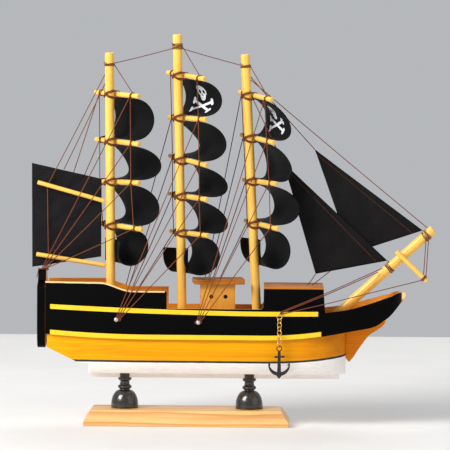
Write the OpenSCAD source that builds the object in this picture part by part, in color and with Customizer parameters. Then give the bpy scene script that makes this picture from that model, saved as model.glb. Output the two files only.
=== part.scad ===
// Model sailing ship: a three-masted wooden ship on a turned display stand.
// The bow points to +X, starboard is -Y. Millimetres, standing on z = 0.

/* [Stand] */
// Length of the stand's plank
base_l = 164; // [150:1:180]
// Width of the stand's plank
base_w = 52; // [40:1:60]
// Thickness of the stand's plank
base_h = 12.5; // [11:0.5:14]
// Distance of each pedestal from the middle of the plank
pedestal_x = 50; // [40:1:60]

/* [Hull] */
// Height of the keel's underside
keel_z = 37; // [36:0.5:38]
// Half of the hull block's width amidships
block_half = 26; // [25:0.5:27]
// Half of the hull block's width at the stern
stern_half = 18.5; // [17:0.5:21]
// Height of the deck's top
deck_z = 87; // [86:0.5:88]
// Thickness of the deck and of the side boards
board_t = 1.8; // [1.5:0.1:2.2]
// How far the yellow strakes stand out
strake_t = 0.8; // [0.6:0.1:1]

/* [Masts and spars] */
// Diameter of the three masts
mast_d = 7.4; // [7:0.1:8]
// Diameter of the yards
yard_d = 4; // [3.5:0.1:4.5]
// Length of the yards
yard_l = 64; // [60:1:68]
// Width of the square sails
sail_w = 50; // [46:1:52]
// Width of the lowest square sails
low_sail_w = 47; // [44:1:50]
// Thickness of the stiffened sailcloth
cloth_t = 0.8; // [0.6:0.1:1]

/* [Anchor gear] */
// Diameter of the wire in the chain
wire_d = 0.8; // [0.7:0.05:0.9]
// Number of rings in the chain
links = 7; // [5:1:7]

/* [Rigging] */
// Diameter of the rigging thread
thread_d = 0.7; // [0.6:0.1:0.9]

/* [Hidden] */
$fn = 48;
EPS = 0.01;

// Wood and cloth colours
ORANGE = [0.93, 0.55, 0.08];
PALE = [0.93, 0.78, 0.5];
BLACK = [0.05, 0.05, 0.05];
YELLOW = [0.98, 0.82, 0.02];
THREAD = [0.5, 0.3, 0.22];
BRASS = [0.8, 0.62, 0.3];

// Hull lines. Stations run from the stern at stern_x to the bow.
stern_x = -113;
block_bow_x = 127;
bow_tip_x = 172;
bottom_z = 42;
block_top = deck_z - board_t;
bow_round_x = 98;
board_half = block_half + board_t;
poop_top = 115;
waist_top = 94.5;
forecastle_top = 112.4;
roof_t = 1.6;
keel_w = 4.4;

// Sideways curve of the hull at station x, for a half width h amidships
function aft_taper(x, h) = h - (h - stern_half - (h - block_half)) * pow(max(0, (-25 - x) / (-25 - stern_x)), 1.8);
function bow_curve(x, h, from, tip, p) =
    x <= from ? h : h * pow(max(0, 1 - pow((x - from) / (tip - from), p)), 1 / p);
function block_y(x) = min(aft_taper(x, block_half), bow_curve(x, block_half, 88, block_bow_x, 2.2));
function board_y(x, h) = min(aft_taper(x, h), bow_curve(x, h, bow_round_x, bow_tip_x, 2.3));
// The bottom: the counter rises to the transom, and the lowest plank starts with a step
function bottom(x) = x < -85.6 ? 50 + 12.3 * (-85.6 - x) / 26 : (x < -78.5 ? 50 : bottom_z);
function bilge(z) = 1 - 0.26 * pow(max(0, (62 - z) / 20), 2.4);

// Height curves along the side
function low_strake_z(x) = 70 + 2.8 * pow(max(0, (-30 - x) / 79), 2) + 3.2 * pow(max(0, (x - 60) / 45), 2);
function up_strake_z(x) = 89.1 + 4.1 * pow(max(0, (60 - x) / 169), 1.6) + 0.3 * pow(max(0, (x - 60) / 43), 2);
function poop_z(x) = x < -70 ? poop_top : (x > -43 ? 108.4 : 111.7 + 3.3 * cos((x + 70) / 27 * 180));

stations = concat([for (x = [-111.6 : 5 : -91.6]) x], [-85.6, -78.6, -78.4], [for (x = [-70 : 10 : 80]) x],
    [for (x = [85 : 4 : 113]) x], [for (a = [0 : 12 : 84]) 115 + 12 * sin(a)], [block_bow_x - 0.05]);
LAYERS = 12;

function section(x) = let (b = bottom(x), w = max(1.5, block_y(x)))
    [for (k = [0 : LAYERS]) let (z = block_top + (b - block_top) * k / LAYERS) [x, -w * bilge(z), z],
     for (k = [LAYERS : -1 : 0]) let (z = block_top + (b - block_top) * k / LAYERS) [x, w * bilge(z), z]];

module hull_form() {
    n = 2 * (LAYERS + 1);
    last = len(stations) - 1;
    pts = [for (x = stations) each section(x)];
    sides = [for (i = [0 : last - 1], j = [0 : n - 1])
        [i * n + j, i * n + (j + 1) % n, (i + 1) * n + (j + 1) % n, (i + 1) * n + j]];
    polyhedron(pts, concat([[for (j = [n - 1 : -1 : 0]) j]], [[for (j = [0 : n - 1]) last * n + j]], sides),
        convexity = 6);
}

// Masts: foot point on the deck, top point
MIZZEN = [[-61.5, 0, deck_z], [-63.9, 0, 297.3]];
MAIN = [[-4.3, 0, deck_z], [-9.8, 0, 312.3]];
FORE = [[55.6, 0, deck_z], [44.6, 0, 296.7]];
SPRIT = [[117.4, 0, deck_z], [196.3, 0, 157.9]];
mast_set = 12;

function lean(a, b) = [0, acos((b[2] - a[2]) / norm(b - a)), atan2(b[1] - a[1], b[0] - a[0])];
function along(a, b, t) = a + (b - a) * t;
function at_z(m, z) = along(m[0], m[1], (z - m[0][2]) / (m[1][2] - m[0][2]));

module rod(a, b, d) {
    translate(a) rotate(lean(a, b)) cylinder(d = d, h = norm(b - a), $fn = 32);
}

module spar(a, b, d, chamfer) {
    l = norm(b - a);
    translate(a) rotate(lean(a, b)) {
        translate([0, 0, chamfer]) cylinder(d = d, h = l - 2 * chamfer);
        cylinder(d1 = d - 2 * chamfer, d2 = d, h = chamfer);
        translate([0, 0, l - chamfer]) cylinder(d1 = d, d2 = d - 2 * chamfer, h = chamfer);
    }
}

module mast(m) {
    foot = along(m[0], m[1], -mast_set / norm(m[1] - m[0]));
    spar(foot, m[1], mast_d, 1);
}

module mast_hole(m) {
    foot = along(m[0], m[1], -mast_set / norm(m[1] - m[0]));
    rod(foot, along(m[0], m[1], 0.1), mast_d);
}

// Yards: height on the mast, tilt, and how far each is shifted to starboard
brace = [35, 29, 24];
yard_z = [[264, 226, 193.6, 158.4], [279.2, 245.2, 211.4, 182.4, 153], [263.6, 229.4, 194.9, 160.5]];
yard_tilt = [[2, 2, -1, 2], [4, 0.5, 5, 1.5, 0], [4.5, 4, 0.5, 3]];
yard_shift = [[2, 2, 2, 6], [3, 4, 4, 3, 4], [4, 4, 5, 4]];
mast_lines = [MIZZEN, MAIN, FORE];
yard_off = mast_d / 2 + yard_d / 2 + 0.05;
// Belly of each square sail, how far it sags, and the height, lean and turn of the lowest ones' curl
belly = [[19, 26, 22, 13.2], [18, 21.5, 23, 22, 15.5], [18.5, 17.8, 23.5, 13.5]];
sag = [[0, 3, 2, 0], [1, 2, 5, 6, 0], [7, 6, 3, 0]];
curl_h = [27, 29.6, 30.4];
curl_lean = [-2.5, -1, 1.4];
curl_turn = 290;
notch_w = 12.6;

// A point on yard i of mast m, s millimetres to port of the middle of the yard
function yard_middle(m, i) = let (p = at_z(mast_lines[m], yard_z[m][i]), b = brace[m])
    p + [yard_off * cos(b), yard_off * sin(b), 0] + yard_shift[m][i] * [sin(b), -cos(b), 0];
function yard_back(m, i, s) = let (b = brace[m])
    yard_point(m, i, s) - (yard_d + thread_d - 0.1) / 2 * [cos(b), sin(b), 0];
function yard_point(m, i, s) = let (b = brace[m], t = yard_tilt[m][i])
    yard_middle(m, i) + s * [-sin(b) * cos(t), cos(b) * cos(t), sin(t)];

module yard(m, i) {
    spar(yard_point(m, i, -yard_l / 2), yard_point(m, i, yard_l / 2), yard_d, 0.5);
}

// A square sail: a belly between two yards. The lowest are tied at the head only. Each curls back up
// round its mast, with a notch in the foot for it, and the mizzen's stops short of the spanker
STRIPS = 20;
function belly_line(h, b, drop, lean, turn) = [for (k = [0 : STRIPS]) let (a = turn * k / STRIPS)
    [b * sin(a) + lean * (1 - cos(a)), -h * (1 - cos(a)) / 2 - drop * sin(a)]];
function shifted(line, d) = let (n = len(line) - 1)
    [for (k = [0 : n]) let (p = line[k], t = line[min(k + 1, n)] - line[max(k - 1, 0)]) p + d * [t[1], -t[0]] / norm(t)];

module sail(m, i) {
    last = i == len(yard_z[m]) - 1;
    top = yard_middle(m, i) - [0, 0, yard_d / 2 + 0.4];
    low = last ? top - [0, 0, curl_h[m]] : yard_middle(m, i + 1) + [0, 0, yard_d / 2 + 0.6];
    line = belly_line(top[2] - low[2], belly[m][i], sag[m][i], last ? curl_lean[m] : 0, last ? curl_turn : 180);
    tilt = last ? yard_tilt[m][i] : (yard_tilt[m][i] + yard_tilt[m][i + 1]) / 2;
    color(BLACK) translate(top + [(low[0] - top[0]) / 2, 0, 0]) rotate([0, 0, brace[m]]) rotate([90 + tilt, 0, 0])
        difference() {
            linear_extrude(last ? low_sail_w : sail_w, center = true)
                polygon(concat(line, [for (k = [STRIPS : -1 : 0]) shifted(line, cloth_t)[k]]));
            more = m == 0 ? 40 : 0;
            if (last) translate([0.9 - 40, -40, -yard_shift[m][i] - notch_w / 2 - more]) cube([40, 37, notch_w + more]);
        }
}

module base() {
    edge_h = 3.6;
    bevel = 6.1;
    color(PALE) difference() {
        intersection() {
            translate([-base_l / 2, 0, 0]) rotate([90, 0, 90]) linear_extrude(base_l)
                polygon([[-base_w / 2, 0], [base_w / 2, 0], [base_w / 2, edge_h], [base_w / 2 - bevel, base_h],
                    [-base_w / 2 + bevel, base_h], [-base_w / 2, edge_h]]);
            translate([0, base_w / 2, 0]) rotate([90, 0, 0]) linear_extrude(base_w)
                polygon([[-base_l / 2, 0], [base_l / 2, 0], [base_l / 2, edge_h], [base_l / 2 - bevel, base_h],
                    [-base_l / 2 + bevel, base_h], [-base_l / 2, edge_h]]);
        }
        for (side = [-1, 1]) translate([side * pedestal_x, 0, -EPS]) {
            cylinder(d = 3.2, h = base_h + 1);
            cylinder(d = 7, h = 2.6);
        }
    }
}

// Turned pedestal: a bell foot, a neck with two rings, and a slotted collar for the keel
module pedestal() {
    bell = [for (a = [0 : 10 : 90]) [3.7 + 7.3 * cos(a) , base_h + 2 + 12.5 * sin(a)]];
    difference() {
        rotate_extrude() polygon(concat([[0, base_h], [11, base_h]], bell,
            [for (a = [-90 : 30 : 90]) [4.1 + 1.5 * cos(a), 29.4 + 1.5 * sin(a)]],
            [[3.9, 31.6], [3.9, 34.2]], [for (a = [-90 : 30 : 90]) [4.2 + 1.2 * cos(a), 35.8 + 1.2 * sin(a)]],
            [[4.5, 37.6], [4.6, bottom_z - 0.2], [0, bottom_z - 0.2]]));
        translate([-10, -keel_w / 2, keel_z]) cube([20, keel_w, 10]);
        translate([0, 0, base_h - EPS]) cylinder(d = 3, h = 12);
    }
}

module pedestals() {
    color([0.1, 0.08, 0.07]) for (side = [-1, 1]) translate([side * pedestal_x, 0, 0]) pedestal();
}

module stand_screws() {
    color([0.6, 0.6, 0.6]) for (side = [-1, 1]) translate([side * pedestal_x, 0, 0.3]) {
        cylinder(d = 6.4, h = 2);
        cylinder(d = 3, h = 22);
    }
}

module keel() {
    color("white") translate([-78, -keel_w / 2, keel_z]) cube([200, keel_w, bottom_z - keel_z]);
}

module hull() {
    color(ORANGE) difference() {
        hull_form();
        for (m = mast_lines) mast_hole(m);
        rod(along(SPRIT[0], SPRIT[1], -0.06), SPRIT[1], 8);
    }
}

// Flat cutwater in the middle of the bow, with its cap between the ends of the bow wales
module stem() {
    color(ORANGE) translate([0, 1.5, 0]) rotate([90, 0, 0]) linear_extrude(3)
        polygon([[block_bow_x, 84], [block_bow_x, 54], [129.8, 50.8], [133, 54.5], [138.3, 62.6], [145.6, 72.2],
            [152, 76.6], [157.3, 80.8], [161.5, 88.4], [168, 95.5], [173.6, 101.5], [175.2, 104.5], [174.6, 106.8],
            [171.5, 106.8], [166, 103], [158, 96], [155.2, 91], [155.2, block_top - EPS]]);
}

module deck() {
    outline = concat([for (x = [stern_x : 6 : 110]) [x, board_y(x, block_half)]],
        [for (a = [14 : 6 : 86]) let (x = 98 + 57 * sin(a)) [max(x, 110.2), board_y(max(x, 110.2), board_half)]]);
    color(PALE) difference() {
        translate([0, 0, block_top]) linear_extrude(board_t)
            polygon(concat(outline, [for (k = [len(outline) - 1 : -1 : 0]) [outline[k][0], -outline[k][1]]]));
        for (m = mast_lines) mast_hole(m);
        rod(along(SPRIT[0], SPRIT[1], -0.06), SPRIT[1], 8);
    }
}

// A strip that follows the side of the hull, between two half widths, on side -1 or 1
module side_strip(h, t, x0, x1, side) {
    n = 40;
    xs = [for (k = [0 : n]) x0 + (x1 - x0) * sin(90 * k / n)];
    translate([0, 0, 55]) linear_extrude(70)
        polygon(concat([for (x = xs) [x, side * board_y(x, h)]],
            [for (k = [n : -1 : 0]) [xs[k], side * board_y(xs[k], h + t)]]));
}

// A band between two height curves, cut from a strip
module side_band(low, high) {
    translate([0, 40, 0]) rotate([90, 0, 0]) linear_extrude(80)
        polygon(concat(low, [for (k = [len(high) - 1 : -1 : 0]) high[k]]));
}

module side_board(side) {
    xs = [for (k = [0 : 24]) stern_x + 223 * k / 24];
    low = [for (x = xs) [x, low_strake_z(x)]];
    poop = [for (x = [stern_x, -70, -65, -60, -55, -50, -43, -16]) [x, poop_z(x)]];
    fillet = [for (a = [0 : 30 : 90]) [61 - 3 + 3 * sin(a), waist_top + 3 - 3 * cos(a)]];
    high = concat(poop, [[-16, waist_top]], fillet, [[61, forecastle_top - roof_t], [108.6, forecastle_top - roof_t], [110, 92]]);
    color(BLACK) intersection() {
        side_strip(block_half + EPS, board_t, stern_x, 110, side);
        side_band(low, high);
    }
}

module strakes(x1, height) {
    xs = [for (k = [0 : 20]) -109 + (x1 + 109) * k / 20];
    for (side = [-1, 1]) intersection() {
        side_strip(board_half + EPS, strake_t, -109, x1, side);
        side_band([for (x = xs) [x, height == "upper" ? up_strake_z(x) : low_strake_z(x)]],
            [for (x = xs) [x, (height == "upper" ? up_strake_z(x) : low_strake_z(x)) + 3.7]]);
    }
}

module upper_strakes() { color(YELLOW) strakes(103, "upper"); }
module lower_strakes() { color(YELLOW) strakes(105, "lower"); }

module bow_wales() {
    color(BLACK) for (side = [-1, 1]) difference() {
        intersection() {
            side_strip(board_half + EPS, 1.6, 104.7, bow_tip_x - 0.4, side);
            side_band([[107.6, 73.3], [130.6, 77.5], [148.5, 80.8], [157, 85.8], [162.4, 89.7], [171, 99.6], [175, 103.6]],
                [[104.7, 91.7], [127, 94.6], [142.2, 98.5], [161.5, 104.6], [167.7, 107.5], [171, 107.5], [175, 106]]);
        }
        translate([100, -1.52, 60]) cube([90, 3.04, 60]);
    }
}

module transom() {
    color(BLACK) translate([-119.6, 0, 0]) rotate([90, 0, 90]) linear_extrude(6.6 - EPS)
        polygon([for (side = [-1, 1], k = [0 : 9]) let (j = side < 0 ? k : 9 - k,
            y = [0, 11, 16, 19, 20.5, 20.8, 16, 9.5, 8, 0][j], z = [61.4, 61.4, 64, 70, 80, 110.5, 113.5, 116, 122, 123.7][j])
            [side * y, z]]);
}

module forecastle_deck() {
    xs = [for (k = [0 : 12]) 61 + 47.6 * k / 12];
    color(PALE) translate([0, 0, forecastle_top - roof_t]) linear_extrude(roof_t)
        polygon(concat([for (x = xs) [x, board_y(x, board_half)]], [for (k = [12 : -1 : 0]) [xs[k], -board_y(xs[k], board_half)]]));
}

module forecastle_bulkheads() {
    h = forecastle_top - roof_t - deck_z - EPS;
    color(BLACK) for (x = [61.6, 105.6]) translate([x, 0, deck_z]) linear_extrude(h)
        translate([0, -board_y(x + 2, block_half) + 0.02]) square([2, 2 * board_y(x + 2, block_half) - 0.04]);
}

house_turn = 5;
module at_house() { translate([24, 0, deck_z]) rotate(house_turn) children(); }

module house_body() {
    color(PALE) at_house() difference() {
        translate([-13.5, -9, 0]) cube([27, 18, 26]);
        for (x = [-5.7, 5.7]) translate([x, -10, 16]) rotate([-90, 0, 0]) cylinder(d = 3.3, h = 3);
    }
}

module house_roof() {
    color(PALE) at_house() translate([-19.5, -13, 26]) cube([40.3, 26, 4.3]);
}

module mizzen_mast() { color(PALE) mast(MIZZEN); }
module main_mast() { color(PALE) mast(MAIN); }
module fore_mast() { color(PALE) mast(FORE); }
module bowsprit() { color(PALE) spar(along(SPRIT[0], SPRIT[1], -0.05), SPRIT[1], 7.9, 1); }

striker_y = 6.05;
module dolphin_striker() { color(PALE) spar([166.6, -striker_y, 140.3], [191.3, -striker_y, 116.6], 4, 0.5); }
module gaff() { color(PALE) spar([-120.9, 0, 193.1], [-67.2, 0, 178.3], 3.5, 0.5); }
module boom() { color(PALE) spar([-121.6, 0, 135.4], [-66.4, 0, 126.8], 3.5, 0.5); }

// A flat fore-and-aft sail in the plane y
module flat_sail(y, outline) {
    color(BLACK) translate([0, y + cloth_t / 2, 0]) rotate([90, 0, 0]) linear_extrude(cloth_t) polygon(outline);
}

SPANKER = [[-125, 125], [-125.7, 208.8], [-69.7, 196.4], [-69.7, 133.7]];
OUTER_JIB = [[101, 221], [187.9, 156.9], [130.8, 137.8]];
INNER_JIB = [[75.8, 210.4], [159.8, 132.6], [102.4, 121.5]];
module spanker() { flat_sail(2.4, SPANKER); }
module outer_jib() { flat_sail(1.6, OUTER_JIB); }
module inner_jib() { flat_sail(-1.6, INNER_JIB); }

module ring(r, d) { rotate_extrude() translate([r, 0]) circle(d = d, $fn = 16); }

// Turns of thread round a spar from a to b, at the point p
module turns(p, a, b, d, n) {
    translate(p) rotate(lean(a, b)) for (k = [0 : n - 1]) translate([0, 0, (k - (n - 1) / 2) * 1.03 * thread_d])
        ring(d / 2, thread_d);
}

tie_s = 0.72 * yard_l / 2;
module lashings() {
    color(THREAD) {
        for (m = [0 : 2]) {
            turns(at_z(mast_lines[m], mast_lines[m][1][2] - 9.5), mast_lines[m][0], mast_lines[m][1], mast_d, 3);
            for (i = [0 : len(yard_z[m]) - 1]) {
                for (dz = [-3.2, 3.2])
                    turns(at_z(mast_lines[m], yard_z[m][i] + dz), mast_lines[m][0], mast_lines[m][1], mast_d, 2);
                for (s = [-1, 1]) turns(yard_point(m, i, s * tie_s), yard_point(m, i, -1), yard_point(m, i, 1), yard_d, 2);
            }
        }
        for (t = [0.56, 0.94]) turns(along(SPRIT[0], SPRIT[1], t), SPRIT[0], SPRIT[1], 7.9, 4);
        turns([-116, 0, 123], [0, 0, 0], [0, 0, 1], 8, 1);
    }
}

// A taut thread from a to b, stopping short of the knots at its ends
module thread(a, b, short_a = 0.6, short_b = 0.6) {
    l = norm(b - a);
    rod(along(a, b, short_a / l), along(a, b, 1 - short_b / l), thread_d);
}

stern_tie = [-117, 0, 124.6];
pin_x = [-56, 9.2];
pin_z = [85.5, 83.9];
function pin_y(x) = board_y(x, board_half);
function rail_z(x) = x < -16 ? poop_z(x) : waist_top;
tip_tie = along(SPRIT[0], SPRIT[1], 0.95) + [0, 0, 4];
eye_at = [73.7, -board_half - strake_t, 91.8];
eye_ring_y = eye_at[1] - 3.2;
striker_end = [189.4, -striker_y, 118.4];
mast_clear = mast_d / 2 + 0.3;

// Where a brace bends over the top edge of the side board, on its way from a down to b
function over_rail(a, b, side) = let (z = rail_z(b[0] + 12), t = (z - b[2]) / (a[2] - b[2]), x = b[0] + t * (a[0] - b[0]))
    [x, side * (board_y(x, board_half) + 0.5), rail_z(x) + 0.3];

// Braces lead from the yards' ends to the stern or to a hull pin on each side
module braces(m) {
    for (i = [(m == 1 ? 1 : 0) : len(yard_z[m]) - 1], side = [-1, 1]) {
        from = yard_back(m, i, side * tie_s);
        if (m == 0) thread(from, stern_tie + [i, side * 3, 0], 2.8, 1);
        else {
            to = [pin_x[m - 1] + i - 1.5, side * (pin_y(pin_x[m - 1]) + 1), pin_z[m - 1]];
            bend = over_rail(from, to, side);
            thread(from, bend, 2.8);
            thread(bend, to, 0.6, 1);
        }
    }
}

// Lifts from the mast head to the top yard, and ties from each yard's ends to the next yard's
module lifts_and_ties(m) {
    head = at_z(mast_lines[m], mast_lines[m][1][2] - 9.5) + [mast_d / 2, 0, 0];
    for (s = [-tie_s, tie_s]) {
        thread(head, yard_point(m, 0, s) + [0, 0, yard_d / 2], 1.2, 0.2);
        for (i = [0 : len(yard_z[m]) - 2]) thread(yard_back(m, i, s), yard_back(m, i + 1, s));
    }
}

// Bobstays from the hull eye, round the corner of the forecastle, to the bowsprit and the dolphin striker
module bobstays() {
    corner_y = -board_y(109, board_half) - 0.6;
    for (k = [0 : 2]) {
        end = [[152, -4.3, 123.4], [155.5, -4.3, 126.6], striker_end + [-2, 0, -1]][k];
        start = eye_at + [0.8, -0.2, 0.9 * [0, 1, -1][k]];
        t = (109.2 - start[0]) / (end[0] - start[0]);
        corner = [109.2, corner_y, start[2] + t * (end[2] - start[2])];
        thread(start, corner, 1);
        thread(corner, end);
    }
}

module rigging() {
    color(THREAD) {
        for (m = [0 : 2]) {
            lifts_and_ties(m);
            braces(m);
        }
        thread(at_z(MIZZEN, 288), at_z(MAIN, 302), mast_clear, mast_clear);
        thread(at_z(MAIN, 302), at_z(FORE, 287), mast_clear, mast_clear);
        thread(at_z(FORE, 279.5), tip_tie, mast_clear);
        thread(at_z(FORE, 283), [101, 1.6, 221], mast_clear + 0.6);
        thread(at_z(FORE, 272), [75.8, -1.6, 210.4], mast_clear);
        thread(at_z(MIZZEN, 287), [-112, 0, 192.5], mast_clear);
        thread(at_z(MIZZEN, 280), [-100, 2.4, 203.4], mast_clear);
        thread([-112, 0, 136], [-113, 0, 189.2]);
        thread([102.4, -1.6, 121.5], [96, -1.6, forecastle_top]);
        thread([130.8, 1.6, 137.8], [100, 1.6, forecastle_top]);
        for (dx = [0, 2]) thread([190.5 + dx, -4.3, 152], striker_end + [dx - 1, 0, 0], 0.6, 0.9);
        bobstays();
    }
}

module hull_pins() {
    color("silver") for (k = [0, 1], side = [-1, 1])
        translate([pin_x[k], side * pin_y(pin_x[k]), pin_z[k]]) rotate([-90 * side, 0, 0]) {
            translate([0, 0, -4]) cylinder(d = 1, h = 5);
            translate([0, 0, 1.4]) intersection() {
                sphere(d = 4);
                translate([-3, -3, -0.4]) cube([6, 6, 4]);
            }
        }
}

module chain_eye() {
    color(BRASS) {
        translate(eye_at + [0, 4.5, 0]) rotate([90, 0, 0]) cylinder(d = 1, h = 6.1, $fn = 24);
        translate([eye_at[0], eye_ring_y, eye_at[2]]) rotate([0, 90, 0]) ring(1.7, 1);
    }
}

// Ring links hang in each other, each one turned across the last
link_r = 2;
pitch = 2 * link_r - wire_d - 0.06;
ring_z = eye_at[2] - 1.7 + 0.5 + wire_d / 2 + 0.04 - link_r;
chain_top = ring_z - pitch;

module link(z, turn) {
    translate([eye_at[0], eye_ring_y, z]) rotate([0, 0, turn]) rotate([90, 0, 0]) ring(link_r, wire_d);
}

module jump_ring() { color(BRASS) link(ring_z, 0); }

module chain() {
    color(BRASS) for (k = [0 : links - 1]) link(chain_top - k * pitch, k % 2 == 0 ? 90 : 0);
}

anchor_ring_z = chain_top - links * pitch;
module anchor() {
    color([0.2, 0.2, 0.2]) translate([eye_at[0], eye_ring_y, anchor_ring_z]) rotate([90, 0, 0]) {
        rotate([0, 0, 0]) ring(link_r, wire_d + 0.1);
        translate([-1.1, -21.5, -0.8]) cube([2.2, 19.3, 1.6]);
        translate([-4.1, -7.4, -0.7]) cube([8.2, 1.5, 1.4]);
        translate([0, 0, -0.8]) linear_extrude(1.6) difference() {
            translate([0, -13.2]) circle(r = 8.6);
            translate([0, -11.4]) circle(r = 7.8);
            translate([-10, -13]) square([20, 20]);
        }
        translate([0, 0, -0.8]) linear_extrude(1.6) polygon([[-2, -21], [2, -21], [0, -24.2]]);
        for (side = [-1, 1]) translate([0, 0, -0.8]) linear_extrude(1.6)
            polygon([[side * 8.7, -13.2], [side * 6.6, -13.2], [side * 8.2, -10.6]]);
    }
}

base();
pedestals();
stand_screws();
keel();
hull();
stem();
deck();
side_board(-1);  // side_board_starboard
side_board(1);  // side_board_port
upper_strakes();
lower_strakes();
bow_wales();
transom();
forecastle_deck();
forecastle_bulkheads();
house_body();
house_roof();
mizzen_mast();
main_mast();
fore_mast();
bowsprit();
dolphin_striker();
gaff();
boom();
for (m = [0 : 2], i = [0 : len(yard_z[m]) - 1]) {
    mast_name = ["mizzen", "main", "fore"][m];
    color(PALE) yard(m, i);
    sail(m, i);
}
spanker();
outer_jib();
inner_jib();
lashings();
rigging();
hull_pins();
chain_eye();
jump_ring();
chain();
anchor();
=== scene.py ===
import math

import bpy
from mathutils import Matrix, Quaternion, Vector


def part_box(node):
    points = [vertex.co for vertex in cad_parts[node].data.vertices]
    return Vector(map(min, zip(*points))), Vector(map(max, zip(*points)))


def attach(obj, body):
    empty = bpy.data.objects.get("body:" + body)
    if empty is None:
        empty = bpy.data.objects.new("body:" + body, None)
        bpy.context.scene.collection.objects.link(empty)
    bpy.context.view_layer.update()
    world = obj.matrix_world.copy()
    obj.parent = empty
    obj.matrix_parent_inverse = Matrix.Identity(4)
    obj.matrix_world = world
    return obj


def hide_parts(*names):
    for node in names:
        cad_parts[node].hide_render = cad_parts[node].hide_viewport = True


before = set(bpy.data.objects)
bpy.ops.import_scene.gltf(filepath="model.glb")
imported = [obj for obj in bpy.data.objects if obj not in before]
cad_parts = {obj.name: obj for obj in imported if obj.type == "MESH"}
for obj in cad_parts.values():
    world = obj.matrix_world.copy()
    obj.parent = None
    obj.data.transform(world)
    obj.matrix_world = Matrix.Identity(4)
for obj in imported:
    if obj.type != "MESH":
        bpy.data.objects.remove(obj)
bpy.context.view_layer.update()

# ---------------------------------------------------------------------------
# The view. The ship is looked at square on from starboard, from a little above the deck and a few
# metres off, under a broad soft lamp on the left with a weaker one on the right.
# ---------------------------------------------------------------------------
MM = 0.001

scene = bpy.context.scene
scene.view_settings.view_transform = "Standard"


def mm(x, y, z):
    """A place given in millimetres, in metres."""
    return Vector((x, y, z)) * MM


def look(obj, place, target, roll=0.0):
    """Puts a lamp or the camera at a place and aims it at a target."""
    obj.location = place
    obj.rotation_mode = "QUATERNION"
    aim = (target - place).to_track_quat("-Z", "Y")
    obj.rotation_quaternion = aim @ Quaternion((0, 0, 1), math.radians(roll))
    scene.collection.objects.link(obj)


def view_from(target, azimuth, elevation, distance):
    """The place that sees a target from this side, height and distance."""
    a, e = math.radians(azimuth), math.radians(elevation)
    back = Vector((math.sin(a) * math.cos(e), -math.cos(a) * math.cos(e), math.sin(e)))
    return target + back * distance


eye_target = mm(29.5, 0, 160)
camera = bpy.data.objects.new("camera", bpy.data.cameras.new("camera"))
camera.data.sensor_width = 36
camera.data.lens = 274
camera.data.clip_end = 20
look(camera, view_from(eye_target, 0.7, 3.1, 2.744), eye_target, roll=0.45)
scene.camera = camera

for lamp_name, azimuth, elevation, size, power in [
    ("key_lamp", -50, 33, 0.8, 35.0),
    ("fill_lamp", 55, 22, 1.4, 4.0),
    ("back_lamp", 165, 45, 1.0, 8.0),
]:
    lamp = bpy.data.objects.new(lamp_name, bpy.data.lights.new(lamp_name, "AREA"))
    lamp.data.size = size
    lamp.data.energy = power
    look(lamp, view_from(mm(30, 0, 150), azimuth, elevation, 1.7), mm(30, 0, 150))

# ---------------------------------------------------------------------------
# Floor and room. The stand is on a plain white table whose back edge shows, in a plain pale room.
# ---------------------------------------------------------------------------


class Wire:
    """One output of a node. Python's arithmetic on it adds Math nodes to its tree."""

    def __init__(self, tree, socket):
        self.tree, self.socket = tree, socket

    def math(self, operation, *values):
        """A Math node on this value and any others."""
        return add(self.tree, "ShaderNodeMath", {"operation": operation}, dict(enumerate((self, *values))))

    def __add__(self, other):
        return self.math("ADD", other)

    def __sub__(self, other):
        return self.math("SUBTRACT", other)

    def __rsub__(self, other):
        return add(self.tree, "ShaderNodeMath", {"operation": "SUBTRACT"}, {0: other, 1: self})

    def __mul__(self, other):
        return self.math("MULTIPLY", other)

    def __truediv__(self, other):
        return self.math("DIVIDE", other)

    def __pow__(self, other):
        return self.math("POWER", other)

    def __abs__(self):
        return self.math("ABSOLUTE")

    def __lt__(self, other):
        return self.math("LESS_THAN", other)

    def __gt__(self, other):
        return self.math("GREATER_THAN", other)

    __radd__, __rmul__ = __add__, __mul__

    def low(self, other):
        return self.math("MINIMUM", other)

    def high(self, other):
        return self.math("MAXIMUM", other)

    def step(self, start, end):
        """0 below start, 1 above end, and smooth between them."""
        return add(self.tree, "ShaderNodeMapRange", {"interpolation_type": "SMOOTHSTEP"},
                   {"Value": self, "From Min": start, "From Max": end})


def add(tree, kind, settings=None, sockets=None, out=0):
    """Adds a node to a tree, sets it up, feeds its sockets, and gives one of its outputs."""
    node = tree.nodes.new(kind)
    for name, value in (settings or {}).items():
        if name == "stops":
            ramp = node.color_ramp
            while len(ramp.elements) < len(value):
                ramp.elements.new(0.5)
            for element, (place, colour) in zip(ramp.elements, value):
                element.position, element.color = place, (*colour, 1)
        else:
            setattr(node, name, value)
    for name, value in (sockets or {}).items():
        if isinstance(value, Wire):
            tree.links.new(value.socket, node.inputs[name])
        else:
            node.inputs[name].default_value = value
    return Wire(tree, node.outputs[out])


def paint(r, g, b):
    """A colour from 0 to 255 as it looks on a screen, as the light it reflects."""
    return tuple(v / 255 / 12.92 if v <= 10 else ((v / 255 + 0.055) / 1.055) ** 2.4 for v in (r, g, b))


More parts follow.
